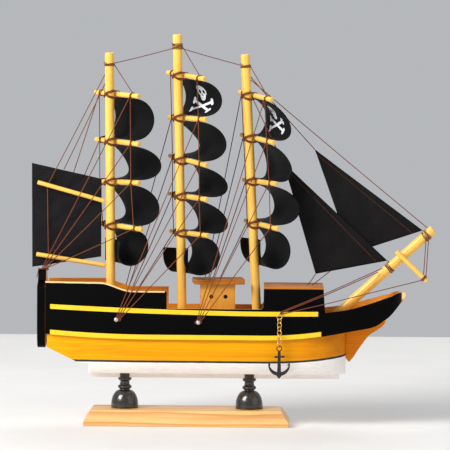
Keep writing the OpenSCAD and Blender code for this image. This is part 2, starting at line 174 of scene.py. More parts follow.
class Finish:
    """One surface finish: a material, its main shader, and short names for the nodes that feed it."""

    def __init__(self, name, **uniform):
        self.material = bpy.data.materials.new(name)
        self.material.use_nodes = True
        self.tree = self.material.node_tree
        self.shader = self.tree.nodes["Principled BSDF"]
        for socket, value in uniform.items():
            self.shader.inputs[socket.replace("_", " ")].default_value = value

    def add(self, kind, settings=None, sockets=None, out=0):
        return add(self.tree, kind, settings, sockets, out)

    def feed(self, **varying):
        for socket, wire in varying.items():
            self.tree.links.new(wire.socket, self.shader.inputs[socket.replace("_", " ")])

    def scaled(self, vector, stretch):
        """A vector with each of its parts stretched."""
        return self.add("ShaderNodeMapping", {}, {"Vector": vector, "Scale": stretch})

    def place(self, stretch=(1, 1, 1), source="Object"):
        """Object or UV coordinates, stretched to suit a pattern."""
        return self.scaled(self.add("ShaderNodeTexCoord", out=source), stretch)

    def laid_on(self):
        """The base colour as it stands so far, to paint over."""
        return Wire(self.tree, self.shader.inputs["Base Color"].links[0].from_socket)

    def axes(self, vector):
        """The three parts of a vector."""
        split = self.tree.nodes.new("ShaderNodeSeparateXYZ")
        self.tree.links.new(vector.socket, split.inputs[0])
        return [Wire(self.tree, out) for out in split.outputs]

    def noise(self, vector, scale, detail=3.0, rough=0.55):
        sockets = {"Vector": vector, "Scale": scale, "Detail": detail, "Roughness": rough}
        return self.add("ShaderNodeTexNoise", {}, sockets, "Fac")

    def ramp(self, wire, *stops):
        return self.add("ShaderNodeValToRGB", {"stops": stops}, {"Fac": wire}, "Color")

    def blend(self, share, low, high, how="MIX"):
        """Mixes two colours. Each is a colour or a wire."""
        full = [v if isinstance(v, Wire) else (*v, 1) for v in (low, high)]
        return self.add("ShaderNodeMix", {"data_type": "RGBA", "blend_type": how},
                        {0: share, 6: full[0], 7: full[1]}, 2)

    def bump(self, height, depth, strength=1.0):
        """Relief, with its depth in metres."""
        return self.add("ShaderNodeBump", {}, {"Height": height, "Distance": depth, "Strength": strength})


floor_finish = Finish("floor_sheet", Roughness=0.75)
mottle = floor_finish.noise(floor_finish.place(), 9.0)
table_white = floor_finish.ramp(mottle, (0.3, paint(222, 220, 217)), (0.7, paint(228, 226, 223)))
floor_finish.feed(Base_Color=table_white)

floor_mesh = bpy.data.meshes.new("floor")
half_wide, near_y, far_left_y, far_right_y = 2.5, -3.2, 0.78, 0.86
table_corners = [(-half_wide, near_y, 0), (half_wide, near_y, 0), (half_wide, far_right_y, 0),
                 (-half_wide, far_left_y, 0)]
floor_mesh.from_pydata(table_corners, [], [(0, 1, 2, 3)])
floor_mesh.materials.append(floor_finish.material)
floor = bpy.data.objects.new("floor", floor_mesh)
scene.collection.objects.link(floor)

room = bpy.data.worlds.new("room")
room.use_nodes = True
room.node_tree.nodes["Background"].inputs["Color"].default_value = (0.80, 0.82, 0.86, 1)
room.node_tree.nodes["Background"].inputs["Strength"].default_value = 0.58
scene.world = room

# ---------------------------------------------------------------------------
# Stand plank. A sawn pine board, planed to a wide bevel on all four sides, sanded and given one thin
# coat of clear varnish. Two countersunk screws hold the pedestals from below.
# ---------------------------------------------------------------------------
base_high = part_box("base")[1] / MM
plank_edge, plank_bevel = 3.6, 6.1


def build(name, points, faces, finishes, which=None, smooth=True):
    """A mesh object from points in millimetres, with one of its finishes on each face."""
    mesh = bpy.data.meshes.new(name)
    mesh.from_pydata([Vector(p) * MM for p in points], [], faces)
    for finish in finishes:
        mesh.materials.append(finish.material)
    for face in mesh.polygons:
        face.use_smooth = smooth
        face.material_index = which[face.index] if which else 0
    obj = bpy.data.objects.new(name, mesh)
    scene.collection.objects.link(obj)
    return obj


def bevel(obj, width, segments=3, angle=35):
    """Rounds the sharp edges of a piece, by a width in millimetres."""
    modifier = obj.modifiers.new("rounded_edges", "BEVEL")
    modifier.width, modifier.segments = width * MM, segments
    modifier.limit_method, modifier.angle_limit = "ANGLE", math.radians(angle)
    modifier.harden_normals = True
    return obj


def fit(obj, slot, *nodes, body="ship"):
    """Sets the body that a piece rides on and hides the CAD nodes it stands for. The slot is not used."""
    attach(obj, body)
    if nodes:
        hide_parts(*nodes)
    return obj


def lattice(rows, closed=False, flip=False):
    """Faces over a grid of points that are listed row by row."""
    wide = len(rows[0])
    faces = []
    for i in range(len(rows) - 1):
        for j in range(wide if closed else wide - 1):
            n = (j + 1) % wide
            quad = (i * wide + j, i * wide + n, (i + 1) * wide + n, (i + 1) * wide + j)
            faces.append(quad[::-1] if flip else quad)
    return faces


def round_faces(rows, flip=False):
    """Faces over rows of points that each close on themselves, with a cap on the first and the last."""
    wide, last = len(rows[0]), (len(rows) - 1) * len(rows[0])
    caps = [tuple(range(wide))[::-1], tuple(range(last, last + wide))]
    return lattice(rows, True, flip) + [cap[::-1] if flip else cap for cap in caps]


def joined(rows):
    """The points of several rows in one list."""
    return [point for row in rows for point in row]


def growth_rings(finish, vector, pith, ring, wobble, run=0):
    """Growth rings round a pith, as sawn timber shows them: 0 in the early wood, rising to 1 in each
    late ring. Lengths are in metres, run is the axis that the trunk lies along, and pith is the
    trunk's middle across the other two."""
    parts = finish.axes(vector)
    across = [parts[k] for k in range(3) if k != run]
    drawn = finish.scaled(vector, [0.12 if k == run else 1 for k in range(3)])
    drift = finish.noise(drawn, 60.0, 2.0) - 0.5
    away = ((across[0] - pith[0]) ** 2 + (across[1] - pith[1]) ** 2) ** 0.5 + drift * wobble
    return (away / ring).math("FRACT") ** 2.2


def wood(name, light, dark, pith, ring, wobble, run=0, share=0.6, source=None, **uniform):
    """A varnished timber: growth rings, fine fibres along the grain, and slow changes of tone."""
    finish = Finish(name, **uniform)
    vector = source(finish) if source else finish.place()
    rings = growth_rings(finish, vector, pith, ring, wobble, run)
    fine = finish.scaled(vector, [0.035 if k == run else 1 for k in range(3)])
    fibres = finish.noise(fine, 2600.0, 4.0, 0.65)
    tone = finish.noise(fine, 320.0, 2.0)
    colour = finish.blend(rings * share, light, dark)
    colour = finish.blend(tone.step(0.35, 0.75) * 0.35, colour, dark)
    colour = finish.blend(fibres.step(0.45, 0.8) * 0.22, colour, dark)
    finish.feed(Base_Color=colour, Roughness=uniform.get("Roughness", 0.4) + (fibres - 0.5) * 0.12,
                Normal=finish.bump(fibres + rings * 0.5, 0.00004, 0.6))
    return finish


pine = wood("pine_plank", paint(236, 190, 118), paint(186, 110, 42), (0.012, -0.034), 0.0031, 0.004,
            share=0.75, Roughness=0.42, Coat_Weight=0.25, Coat_Roughness=0.3)
half_l, half_w = base_high.x, base_high.y
plank_rows = [[(x * (half_l - i), y * (half_w - i), z) for x, y in ((-1, -1), (1, -1), (1, 1), (-1, 1))]
              for z, i in ((0, 0), (plank_edge, 0), (base_high.z, plank_bevel))]
plank = build("stand_plank", joined(plank_rows), round_faces(plank_rows), [pine])
fit(bevel(plank, 0.45), "pine", "base")

plated_steel = Finish("plated_steel", Metallic=1.0, Roughness=0.28)
scuffs = plated_steel.noise(plated_steel.place(), 900.0)
bright_steel = plated_steel.ramp(scuffs, (0.3, paint(190, 190, 188)), (0.7, paint(226, 226, 224)))
plated_steel.feed(Base_Color=bright_steel, Normal=plated_steel.bump(scuffs, 0.00003))


def refinish(node, finish):
    """Gives a CAD piece whose shape is right its real finish."""
    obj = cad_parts[node]
    obj.data.materials.clear()
    obj.data.materials.append(finish.material)


refinish("stand_screws", plated_steel)

# ---------------------------------------------------------------------------
# Pedestals. Two turned hardwood feet like a bell under a ringed neck, dipped in a black-brown lacquer.
# A slot across each collar holds the keel.
# ---------------------------------------------------------------------------
UP = Vector((0, 0, 1))
foot_r = 11
pedestal_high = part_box("pedestals")[1] / MM
pedestal_x = pedestal_high.x - foot_r
keel_low, keel_high = (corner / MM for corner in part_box("keel"))


def turned(name, foot, head, profile, finishes, around=40, end_from=None, seed=0):
    """A piece turned on a lathe, from foot to head in millimetres. The profile lists radius and distance
    from the foot, and starts and ends on the axis. Its grain attribute keeps the timber's own
    coordinates, so rings run along the piece and show on its ends."""
    foot, head = Vector(foot), Vector(head)
    turn = (head - foot).to_track_quat("Z", "Y")
    own, faces = [], []
    for radius, s in profile:
        count = around if radius > 0 else 1
        turns = [2 * math.pi * k / count for k in range(count)]
        own += [Vector((radius * math.cos(t), radius * math.sin(t), s)) for t in turns]
    start = 0
    for (r0, _), (r1, _) in zip(profile, profile[1:]):
        after = start + (around if r0 > 0 else 1)
        for k in range(around):
            n = (k + 1) % around
            if r0 == 0:
                faces.append((start, after + n, after + k))
            elif r1 == 0:
                faces.append((start + k, start + n, after))
            else:
                faces.append((start + k, start + n, after + n, after + k))
        start = after
    which = None
    if end_from:
        which = [int(len(f) == 3 and max(own[v].xy.length for v in f) < end_from + 0.01) for f in faces]
    obj = build(name, [foot + turn @ p for p in own], faces, finishes, which)
    grain = obj.data.attributes.new("grain", "FLOAT_VECTOR", "POINT")
    shift = Vector((math.sin(seed * 12.9), math.cos(seed * 7.7), seed * 3.1)) * 6
    for k, p in enumerate(own):
        grain.data[k].vector = (p + shift) * MM
    return obj


def block(name, low, high, finishes, turn=0.0, about=(0, 0, 0)):
    """A straight-sided block between two corners, turned by some degrees and moved to a place."""
    wide, deep, tall = zip(low, high)
    corners = [Vector((x, y, z)) for x in wide for y in deep for z in tall]
    sides = [(0, 1, 3, 2), (4, 6, 7, 5), (0, 4, 5, 1), (2, 3, 7, 6), (0, 2, 6, 4), (1, 5, 7, 3)]
    spin, about = Matrix.Rotation(math.radians(turn), 3, "Z"), Vector(about)
    return build(name, [about + spin @ corner for corner in corners], sides, finishes)


def carve(obj, low, high):
    """Cuts a straight-sided slot out of a piece, between two corners in millimetres."""
    cutter = block("cutter", low, high, [])
    cut = obj.modifiers.new("cut", "BOOLEAN")
    cut.operation, cut.object, cut.solver = "DIFFERENCE", cutter, "EXACT"
    made = bpy.data.meshes.new_from_object(obj.evaluated_get(bpy.context.evaluated_depsgraph_get()))
    obj.modifiers.remove(cut)
    obj.data = made
    bpy.data.objects.remove(cutter)
    return obj


def grain_of(finish):
    """The timber's own coordinates, as a turned piece keeps them."""
    return finish.add("ShaderNodeAttribute", {"attribute_name": "grain"}, {}, "Vector")


lacquer = Finish("dark_lacquer", Roughness=0.22, Coat_Weight=0.6, Coat_Roughness=0.08)
brushed = lacquer.noise(lacquer.place((1, 1, 3)), 420.0, 3.0)
lacquer.feed(Base_Color=lacquer.ramp(brushed, (0.35, paint(26, 21, 19)), (0.75, paint(44, 36, 31))),
             Roughness=0.2 + brushed * 0.14, Normal=lacquer.bump(brushed, 0.00008, 0.5))


def arc(middle, radius, start, end, steps):
    """Points on an arc of a profile, with angles in degrees from the radius outwards."""
    turns = [math.radians(start + (end - start) * k / steps) for k in range(steps + 1)]
    return [(middle[0] + radius * math.cos(t), middle[1] + radius * math.sin(t)) for t in turns]


collar_top = pedestal_high.z - base_high.z
bell = [(3.7 + 7.3 * math.cos(t), 2 + 12.5 * math.sin(t)) for t in (math.pi * k / 40 for k in range(21))]
foot_profile = [(0, 0), (foot_r - 0.3, 0), (foot_r, 0.4)] + bell + arc((4.1, 16.9), 1.5, -80, 80, 10)
foot_profile += [(4.0, 18.8), (3.85, 19.8), (3.85, 21.2), (4.1, 21.9)] + arc((4.3, 23.3), 1.2, -75, 75, 8)
foot_profile += [(4.4, 25.0), (4.6, collar_top - 0.4), (4.3, collar_top), (0, collar_top)]
slot_half, slot_past = keel_high.y + 0.02, 9
for side, end_name in ((-1, "aft"), (1, "fore")):
    x = side * pedestal_x
    foot_at = Vector((x, 0, base_high.z))
    post = turned(f"pedestal_{end_name}", foot_at, foot_at + UP, foot_profile, [lacquer])
    carve(post, (x - slot_past, -slot_half, keel_low.z), (x + slot_past, slot_half, keel_low.z + slot_past))
    fit(post, "dark_lacquer", "pedestals")

# ---------------------------------------------------------------------------
# Hull. A solid block of softwood carved to shape, with a flat bottom, a rounded bow and a rising
# counter at the stern. The sides have an orange varnish and the bottom is painted matt white up to a
# thin dark waterline.
# ---------------------------------------------------------------------------
hull_low, hull_high = (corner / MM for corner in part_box("hull"))
deck_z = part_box("deck")[0].z / MM
board_half, block_half = -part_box("side_board_starboard")[0].y / MM, hull_high.y
block_bow_x, bow_tip_x, stern_x, stern_half = 127.0, 172.0, -113.0, 18.5


def aft_taper(x, half):
    """Half width of the ship aft, where the sides draw in towards the transom."""
    lost = half - stern_half - (half - block_half)
    return half - lost * max(0.0, (-25 - x) / (-25 - stern_x)) ** 1.8


def bow_curve(x, half, start, tip, power):
    """Half width forward of start, where the sides round in to a tip on the middle line."""
    if x <= start:
        return half
    share = (x - start) / (tip - start)
    return half * max(0.0, 1 - share ** power) ** (1 / power)


def block_y(x):
    return min(aft_taper(x, block_half), bow_curve(x, block_half, 88, block_bow_x, 2.2))


def board_y(x, half):
    return min(aft_taper(x, half), bow_curve(x, half, 98, bow_tip_x, 2.3))


def keel_line(x):
    """Height of the block's underside."""
    if x < -85.6:
        return 50 + 12.3 * (-85.6 - x) / 26
    return 50.0 if x < -78.5 else hull_low.z


hull_finish = Finish("hull_finish", Specular_IOR_Level=0.1, Coat_Roughness=0.2)
at = hull_finish.place()
hull_x, _, hull_z = hull_finish.axes(at)
rings = growth_rings(hull_finish, at, (0.004, 0.21), 0.0028, 0.012)
drawn = hull_finish.scaled(at, (0.035, 1, 1))
fibres = hull_finish.noise(drawn, 2400.0, 4.0, 0.65)
tone = hull_finish.noise(drawn, 190.0, 2.0)
varnish = hull_finish.blend(rings * 0.32, paint(240, 166, 2), paint(210, 122, 2))
varnish = hull_finish.blend(tone.step(0.42, 0.72) * 0.4, varnish, paint(202, 106, 2))
varnish = hull_finish.blend(hull_x.step(0.05, 0.125) * 0.5, varnish, paint(190, 92, 2))
varnish = hull_finish.blend(fibres.step(0.5, 0.85) * 0.25, varnish, paint(170, 80, 2))
brush = hull_finish.noise(hull_finish.place((0.2, 1, 1)), 700.0, 3.0)
white_stops = (0.3, paint(238, 233, 228)), (0.7, paint(250, 246, 241))
white = hull_finish.ramp(brush, *white_stops)
waterline = 0.0512 + (hull_x - 0.06).high(0.0) ** 2 * 1.15 + (brush - 0.5) * 0.0004
under = waterline - hull_z
line_t = 0.0017
is_white = under.step(0.0, 0.00012)
is_line = (under + line_t).step(0.0, 0.00012)
painted = hull_finish.blend(is_line, varnish, paint(58, 56, 58))
painted = hull_finish.blend(is_white, painted, white)
relief = fibres * (1 - is_white * 0.6) + rings * 0.4 + brush * 0.3
hull_finish.feed(Base_Color=painted, Roughness=0.34 + is_line * 0.2 + (fibres - 0.5) * 0.1,
                 Coat_Weight=(1 - is_line) * 0.06,
                 Normal=hull_finish.bump(relief, 0.00006, 0.6))

stations = [-111.6 + 4.3 * k for k in range(6)] + [-85.6, -83, -80, -78.6, -78.4, -76]
stations += [-72 + 6 * k for k in range(27)] + [88 + 2.5 * k for k in range(11)]
stations += [115 + 12 * math.sin(math.radians(a)) for a in range(4, 90, 6)] + [block_bow_x - 0.05]
layers = 26


def bilge(z):
    """How much the side draws in towards the bottom."""
    return 1 - 0.26 * max(0.0, (62 - z) / 20) ** 2.4


hull_rows = []
for x in stations:
    low, half = keel_line(x), max(1.5, block_y(x))
    heights = [hull_high.z + (low - hull_high.z) * (k / layers) ** 0.8 for k in range(layers + 1)]
    starboard = [(x, -half * bilge(z), z) for z in heights]
    hull_rows.append(starboard + [(x, -y, z) for _, y, z in starboard[::-1]])
hull_block = build("hull_block", joined(hull_rows), round_faces(hull_rows), [hull_finish])
fit(bevel(hull_block, 0.6, 2, 50), "varnished_wood", "hull")

# ---------------------------------------------------------------------------
# Keel. A square strip of wood glued under the block, painted with it.
# ---------------------------------------------------------------------------
white_paint = Finish("white_paint", Roughness=0.6)
brush = white_paint.noise(white_paint.place((0.2, 1, 1)), 700.0, 3.0)
white_paint.feed(Base_Color=white_paint.ramp(brush, *white_stops),
                 Normal=white_paint.bump(brush, 0.00006, 0.6))
keel_strip = block("keel_strip", keel_low, keel_high, [white_paint])
fit(bevel(keel_strip, 0.5), "white_paint", "keel")

# ---------------------------------------------------------------------------
# Stem. A flat cutwater sawn from thin board and set edge-on in the bow, varnished like the hull. Its
# bare upper end shows between the tips of the bow wales.
# ---------------------------------------------------------------------------
stem_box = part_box("stem")
stem_half = stem_box[1].y / MM
stem_top = deck_z - 0.01


def prism(name, near, far, finishes):
    """A piece between two like outlines. The near one runs anticlockwise as seen from outside."""
    count = len(near)
    faces = [tuple(range(count)), tuple(range(2 * count - 1, count - 1, -1))]
    faces += [(k, k + count, (k + 1) % count + count, (k + 1) % count) for k in range(count)]
    return build(name, near + far, faces, finishes)


def outline_area(outline):
    """Area inside a line of x and z points, above 0 when it runs anticlockwise from starboard."""
    return sum(x0 * z1 - x1 * z0 for (x0, z0), (x1, z1) in zip(outline, outline[1:] + outline[:1])) / 2


def slab(name, outline, half, finishes, middle=0.0, round_by=0.35):
    """A flat board along the ship, sawn to an outline of x and z that is listed either way round."""
    if outline_area(outline) < 0:
        outline = outline[::-1]
    near, far = ([(x, middle + side * half, z) for x, z in outline] for side in (-1, 1))
    return bevel(prism(name, near, far, finishes), round_by)


def smoothed(points, steps=5):
    """A smooth line through points."""
    line = []
    for four in zip([points[0]] + points, points, points[1:], points[2:] + [points[-1]]):
        for t in (k / steps for k in range(steps)):
            line.append(tuple(q + (r - p) * t / 2 + (2 * p - 5 * q + 4 * r - s) * t ** 2 / 2
                              + (3 * q - p - 3 * r + s) * t ** 3 / 2 for p, q, r, s in zip(*four)))
    return line + [points[-1]]


cutwater = smoothed([(129.8, 50.8), (133, 54.5), (138.3, 62.6), (145.6, 72.2), (152, 76.6), (157.3, 80.8),
                     (161.5, 88.4), (168, 95.5), (173.6, 101.5)])
stem_outline = [(block_bow_x, stem_top), (block_bow_x, 54)] + cutwater
stem_outline += [(175.2, 104.5), (174.6, 106.8), (171.5, 106.8), (166, 103), (158, 96), (155.2, 91),
                 (155.2, stem_top)]
stem_wood = wood("stem_wood", paint(234, 140, 8), paint(190, 92, 2), (0.002, 0.19), 0.0026, 0.010,
                 share=0.35, Roughness=0.45, Specular_IOR_Level=0.1, Coat_Weight=0.06, Coat_Roughness=0.2)
_, _, stem_z = stem_wood.axes(stem_wood.place())
ragged = stem_wood.noise(stem_wood.place(), 500.0) * 0.002
bare_tip = (stem_z + ragged).step(0.1025, 0.1035)
stem_wood.feed(Base_Color=stem_wood.blend(bare_tip, stem_wood.laid_on(), paint(236, 204, 150)))
fit(slab("stem_board", stem_outline, stem_half, [stem_wood]), "varnished_wood", "stem")

# ---------------------------------------------------------------------------
# Deck. Thin varnished board glued on the block and scored into planks, running on over the bow to close
# the space between the wales.
# ---------------------------------------------------------------------------
deck_wood = Finish("deck_wood", Coat_Weight=0.2, Coat_Roughness=0.3)
at = deck_wood.place()
_, deck_y, _ = deck_wood.axes(at)
plank_w, seam_w = 0.0052, 0.00025
in_planks = deck_y / plank_w + 100
unscored = 1 - abs(in_planks.math("FRACT") - 0.5).step(0.5 - seam_w / plank_w, 0.5)
odd = deck_wood.add("ShaderNodeTexWhiteNoise", {"noise_dimensions": "1D"},
                    {"W": in_planks.math("FLOOR")}, "Value")
fibres = deck_wood.noise(deck_wood.scaled(at, (0.04, 1, 1)), 2600.0, 4.0, 0.65)
colour = deck_wood.blend(odd * 0.7, paint(205, 132, 52), paint(180, 106, 36))
colour = deck_wood.blend(fibres.step(0.45, 0.8) * 0.35, colour, paint(132, 70, 20))
colour = deck_wood.blend(1 - unscored, colour, paint(60, 32, 12))
deck_wood.feed(Base_Color=colour, Roughness=0.42 + (fibres - 0.5) * 0.15,
               Normal=deck_wood.bump(unscored + fibres * 0.2, 0.00015, 0.7))
refinish("deck", deck_wood)

# ---------------------------------------------------------------------------
# Side boards. Each side is one thin board, bent round the block and glued: high along the poop, low
# along the waist and high again at the forecastle. The outside is painted black, the inside varnished,
# and the sawn edges are left bare.
# ---------------------------------------------------------------------------
black_paint = Finish("black_paint", Specular_IOR_Level=0.06)
at = black_paint.place((0.15, 1, 1))
brush = black_paint.noise(at, 1500.0, 4.0, 0.6)
worn = black_paint.noise(black_paint.place(), 160.0, 4.0, 0.7)
colour = black_paint.blend(worn.step(0.55, 0.75) * 0.5, paint(1, 1, 2), paint(4, 4, 5))
near_edge = black_paint.add("ShaderNodeAttribute", {"attribute_name": "near_edge"}, {}, "Fac")
unpainted = (near_edge + worn * 0.4).step(4.3, 4.5)
black_paint.feed(Base_Color=black_paint.blend(unpainted, colour, paint(238, 200, 142)),
                 Roughness=0.36 + worn * 0.16, Normal=black_paint.bump(brush, 0.00005, 0.5))
bare = wood("bare_wood", paint(244, 208, 152), paint(206, 150, 84), (0.01, 0.05), 0.0022, 0.003,
            share=0.5, Roughness=0.55)
inner_varnish = wood("inner_varnish", paint(250, 170, 40), paint(216, 122, 18), (0.002, 0.19), 0.0026,
                     0.008, share=0.4, Roughness=0.38, Coat_Weight=0.3, Coat_Roughness=0.2)

poop_x, waist_x = -16.0, 61.0
poop_high, poop_low, waist_z = 115.0, 108.4, 94.5
plank_t = 1.6
forecastle_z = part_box("forecastle_deck")[1].z / MM - plank_t
board_t = board_half - block_half
edge_reach, fillet_r = 5, 3


def low_strake_z(x):
    return 70 + 2.8 * max(0.0, (-30 - x) / 79) ** 2 + 3.2 * max(0.0, (x - 60) / 45) ** 2


def up_strake_z(x):
    return 89.1 + 4.1 * max(0.0, (60 - x) / 169) ** 1.6 + 0.3 * max(0.0, (x - 60) / 43) ** 2


def poop_z(x):
    """Height of the poop rail, which drops in a slow S from the stern."""
    if x < -70:
        return poop_high
    return poop_low if x > -43 else 111.7 + 3.3 * math.cos(math.radians((x + 70) / 27 * 180))


def side_plate(name, columns, half, thickness, side, finishes, rows=6, round_by=0.3):
    """A board bent round the side of the hull. Each column is x, its lower and its upper height. The
    finishes are the outside, the sawn edges and the inside. Its near_edge attribute grows towards the
    poop rail, where the paint stops just short of the edge."""
    grid = [[(x, side * board_y(x, half), low + (high - low) * k / rows) for k in range(rows + 1)]
            for x, low, high in columns]
    obj = build(name, joined(grid), lattice(grid, flip=side < 0), finishes)
    edge = obj.data.attributes.new("near_edge", "FLOAT", "POINT")
    for k, (x, _, z) in enumerate(joined(grid)):
        edge.data[k].value = max(0.0, edge_reach - (poop_z(x) - z)) if x <= poop_x else 0.0
    wall = obj.modifiers.new("board", "SOLIDIFY")
    wall.thickness, wall.offset, wall.use_even_offset = thickness * MM, -1, True
    wall.material_offset_rim, wall.material_offset = 1, 2
    return bevel(obj, round_by, 2, 40)


board_columns = [(x, poop_z(x)) for x in (stern_x + (poop_x - stern_x) * k / 40 for k in range(41))]
board_columns += [(poop_x + 0.02, waist_z)]
fillet_x = waist_x - fillet_r
board_columns += [(poop_x + (fillet_x - poop_x) * k / 16, waist_z) for k in range(1, 17)]
board_columns += [(fillet_x + fillet_r * math.sin(t), waist_z + fillet_r * (1 - math.cos(t)))
                  for t in (math.radians(a) for a in range(15, 91, 15))]
board_columns += [(waist_x + 0.02, forecastle_z)]
board_columns += [(waist_x + (108.6 - waist_x) * k / 16, forecastle_z) for k in range(1, 17)]
board_columns += [(109.3, 100.6), (110, 92)]
for side, side_name in ((-1, "starboard"), (1, "port")):
    columns = [(x, low_strake_z(x), high) for x, high in board_columns]
    board = side_plate(f"side_board_{side_name}_painted", columns, board_half, board_t, side,
                       [black_paint, bare, inner_varnish], round_by=0.35)
    fit(board, "black_paint", f"side_board_{side_name}")

# ---------------------------------------------------------------------------
# Strakes. Four thin strips of wood with rounded faces, painted bright yellow and glued along the sides.
# ---------------------------------------------------------------------------
yellow_paint = Finish("yellow_paint", Coat_Weight=0.2, Coat_Roughness=0.2)
at = yellow_paint.place((0.12, 1, 1))
brush = yellow_paint.noise(at, 1300.0, 4.0, 0.6)
thin = yellow_paint.noise(yellow_paint.place((0.5, 1, 1)), 240.0, 4.0, 0.7)
yellow = yellow_paint.blend(thin.step(0.5, 0.8) * 0.6, paint(241, 198, 6), paint(216, 158, 4))
yellow_paint.feed(Base_Color=yellow,
                  Roughness=0.32 + thin * 0.15, Normal=yellow_paint.bump(brush, 0.00007, 0.6))
strake_h = 3.7
strake_t = -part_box("upper_strakes")[0].y / MM - board_half
STRAKES = [("upper_strakes", 104.4, up_strake_z), ("lower_strakes", 107.0, low_strake_z)]
strake_aft = -109
for group, fore_end, height in STRAKES:
    for side, side_name in ((-1, "starboard"), (1, "port")):
        columns = [(x, height(x), height(x) + strake_h) for x in
                   (strake_aft + (fore_end - strake_aft) * math.sin(math.pi / 2 * k / 60) for k in range(61))]
        strake = side_plate(f"{group[:-1]}_{side_name}", columns, board_half + strake_t, strake_t, side,
                            [yellow_paint] * 3, rows=2, round_by=0.28)
        fit(strake, "yellow_paint", group)

# ---------------------------------------------------------------------------
# Bow wales. Two thicker black boards, bent round the bow outside the side boards. They sweep up to meet
# at the stem, and their insides are varnished.
# ---------------------------------------------------------------------------
wale_t = 1.6
wale_tip_x = 171.5
wale_bottom = smoothed([(107.6, 73.3), (130.6, 77.5), (148.5, 80.8), (157, 85.8), (162.4, 89.7),
                        (171, 99.6)])
wale_top = smoothed([(104.7, 91.7), (127, 94.6), (142.2, 98.5), (161.5, 104.6), (167.7, 107.2),
                     (171, 107.4)])


def along(line, x):
    """Height at x of a line of x and z points."""
    for (x0, z0), (x1, z1) in zip(line, line[1:]):
        if x <= x1 or (x1, z1) == line[-1]:
            return z0 + (z1 - z0) * (x - x0) / (x1 - x0)


def wale_points(side, depth):
    """Rows of points down the wale, at one depth below its outer face."""
    grid = []
    for k in range(49):
        t = math.sin(math.pi / 2 * k / 48)
        low_x, high_x = (line[0][0] + (wale_tip_x - line[0][0]) * t for line in (wale_bottom, wale_top))
        low, high = along(wale_bottom, low_x), along(wale_top, high_x)
        row = []
        for j in range(9):
            x = low_x + (high_x - low_x) * j / 8
            y = max(stem_half + 0.05, board_y(x, board_half + wale_t - depth))
            row.append((x, side * y, low + (high - low) * j / 8))
        grid.append(row)
    return grid


for side, side_name in ((-1, "starboard"), (1, "port")):
    outer, inner = wale_points(side, 0), wale_points(side, wale_t - 0.02)
    shell = [o + i[::-1] for o, i in zip(outer, inner)]
    wide = len(shell[0])
    faces = round_faces(shell, flip=side < 0)
    which = [2 if 9 <= n % wide < wide - 1 else 1 if n % wide == 8 and n // wide > 30 else 0
             for n in range(len(faces))]
    which[-2:] = [0, 0]
    wale = build(f"bow_wale_{side_name}", joined(shell), faces, [black_paint, bare, inner_varnish], which)
    fit(bevel(wale, 0.4, 2, 40), "black_paint", "bow_wales")

# ---------------------------------------------------------------------------
# Transom. A shaped board across the stern, black on its outside and edges and varnished on its inside.
# The rigging of the mizzen mast is tied round its crest.
# ---------------------------------------------------------------------------
transom_low, transom_high = (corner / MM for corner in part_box("transom"))
port_edge = [(0, 61.4), (11, 61.4), (14.2, 62.3), (16, 64), (18, 67), (19, 70), (20.5, 80), (20.8, 110),
             (20.2, 111.4), (16, 113.3), (11.6, 114.4), (9.9, 115.4), (9.1, 117.4), (8.6, 120.6),
             (7.2, 122.6), (4.6, 123.5), (0, 123.7)]
outline = port_edge + [(-y, z) for y, z in port_edge[-2:0:-1]]
count = len(outline)
points = [(x, y, z) for x in (transom_low.x, transom_high.x - 0.01) for y, z in outline]
faces = [tuple(range(count - 1, -1, -1)), tuple(range(count, 2 * count))]
faces += [(k, (k + 1) % count, (k + 1) % count + count, k + count) for k in range(count)]
transom = build("transom_board", points, faces, [black_paint, inner_varnish], [0, 1] + [0] * count)
fit(bevel(transom, 0.7), "black_paint", "transom")

# ---------------------------------------------------------------------------
# Forecastle. A plank of bare, lightly varnished wood closes the raised side boards, over a black board
# at each end.
# ---------------------------------------------------------------------------
roof_low, roof_high = (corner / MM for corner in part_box("forecastle_deck"))
pale_plank = wood("pale_plank", paint(188, 116, 42), paint(148, 80, 20), (0.03, 0.06), 0.0034, 0.006,
                  share=0.55, Roughness=0.6, Specular_IOR_Level=0.1)
port_side = [(x, board_y(x, board_half)) for x in
             (roof_low.x + (roof_high.x - roof_low.x) * k / 12 for k in range(13))]
outline = port_side + [(x, -y) for x, y in port_side[::-1]]
under_face, top_face = ([(x, y, z) for x, y in outline] for z in (roof_high.z - plank_t, roof_high.z))
forecastle_plank = prism("forecastle_plank", under_face, top_face, [pale_plank])
fit(bevel(forecastle_plank, 0.4), "deck_wood", "forecastle_deck")
refinish("forecastle_bulkheads", black_paint)

# ---------------------------------------------------------------------------
# Deck house. A block of pale wood with two round windows drilled in its starboard side, under a flat
# roof with a generous overhang. It was glued down a little askew.
# ---------------------------------------------------------------------------
house_wood = wood("house_wood", paint(236, 170, 64), paint(198, 122, 34), (0.02, 0.12), 0.0024, 0.004,
                  run=2, share=0.5, Roughness=0.5, Specular_IOR_Level=0.25,
                  Coat_Weight=0.08, Coat_Roughness=0.3)
house_low, house_high = (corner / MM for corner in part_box("house_body"))
house_at = ((house_low.x + house_high.x) / 2, 0, house_high.z)
house_turn = 5.0
square_on = house_wood.add("ShaderNodeMapping", {"vector_type": "TEXTURE"},
                           {"Vector": house_wood.place(), "Location": (house_at[0] * MM, 0, 0),
                            "Rotation": (0, 0, math.radians(house_turn))})
house_x, house_y, _ = house_wood.axes(square_on)
# Painted shade: every face inside the block's outline, which is the wall of a drilled window, is coloured
# near black for the shade in the holes.
window_hole_shade = (abs(house_x) < 0.0132) * (abs(house_y) < 0.0088)
house_wood.feed(Base_Color=house_wood.blend(window_hole_shade, house_wood.laid_on(), paint(16, 10, 6)))
refinish("house_body", house_wood)
roof_corners = (-19.5, -13, 0), (20.8, 13, 4.3)
roof = block("house_roof_plank", *roof_corners, [pale_plank], house_turn, house_at)
fit(bevel(roof, 0.5), "house_wood", "house_roof")

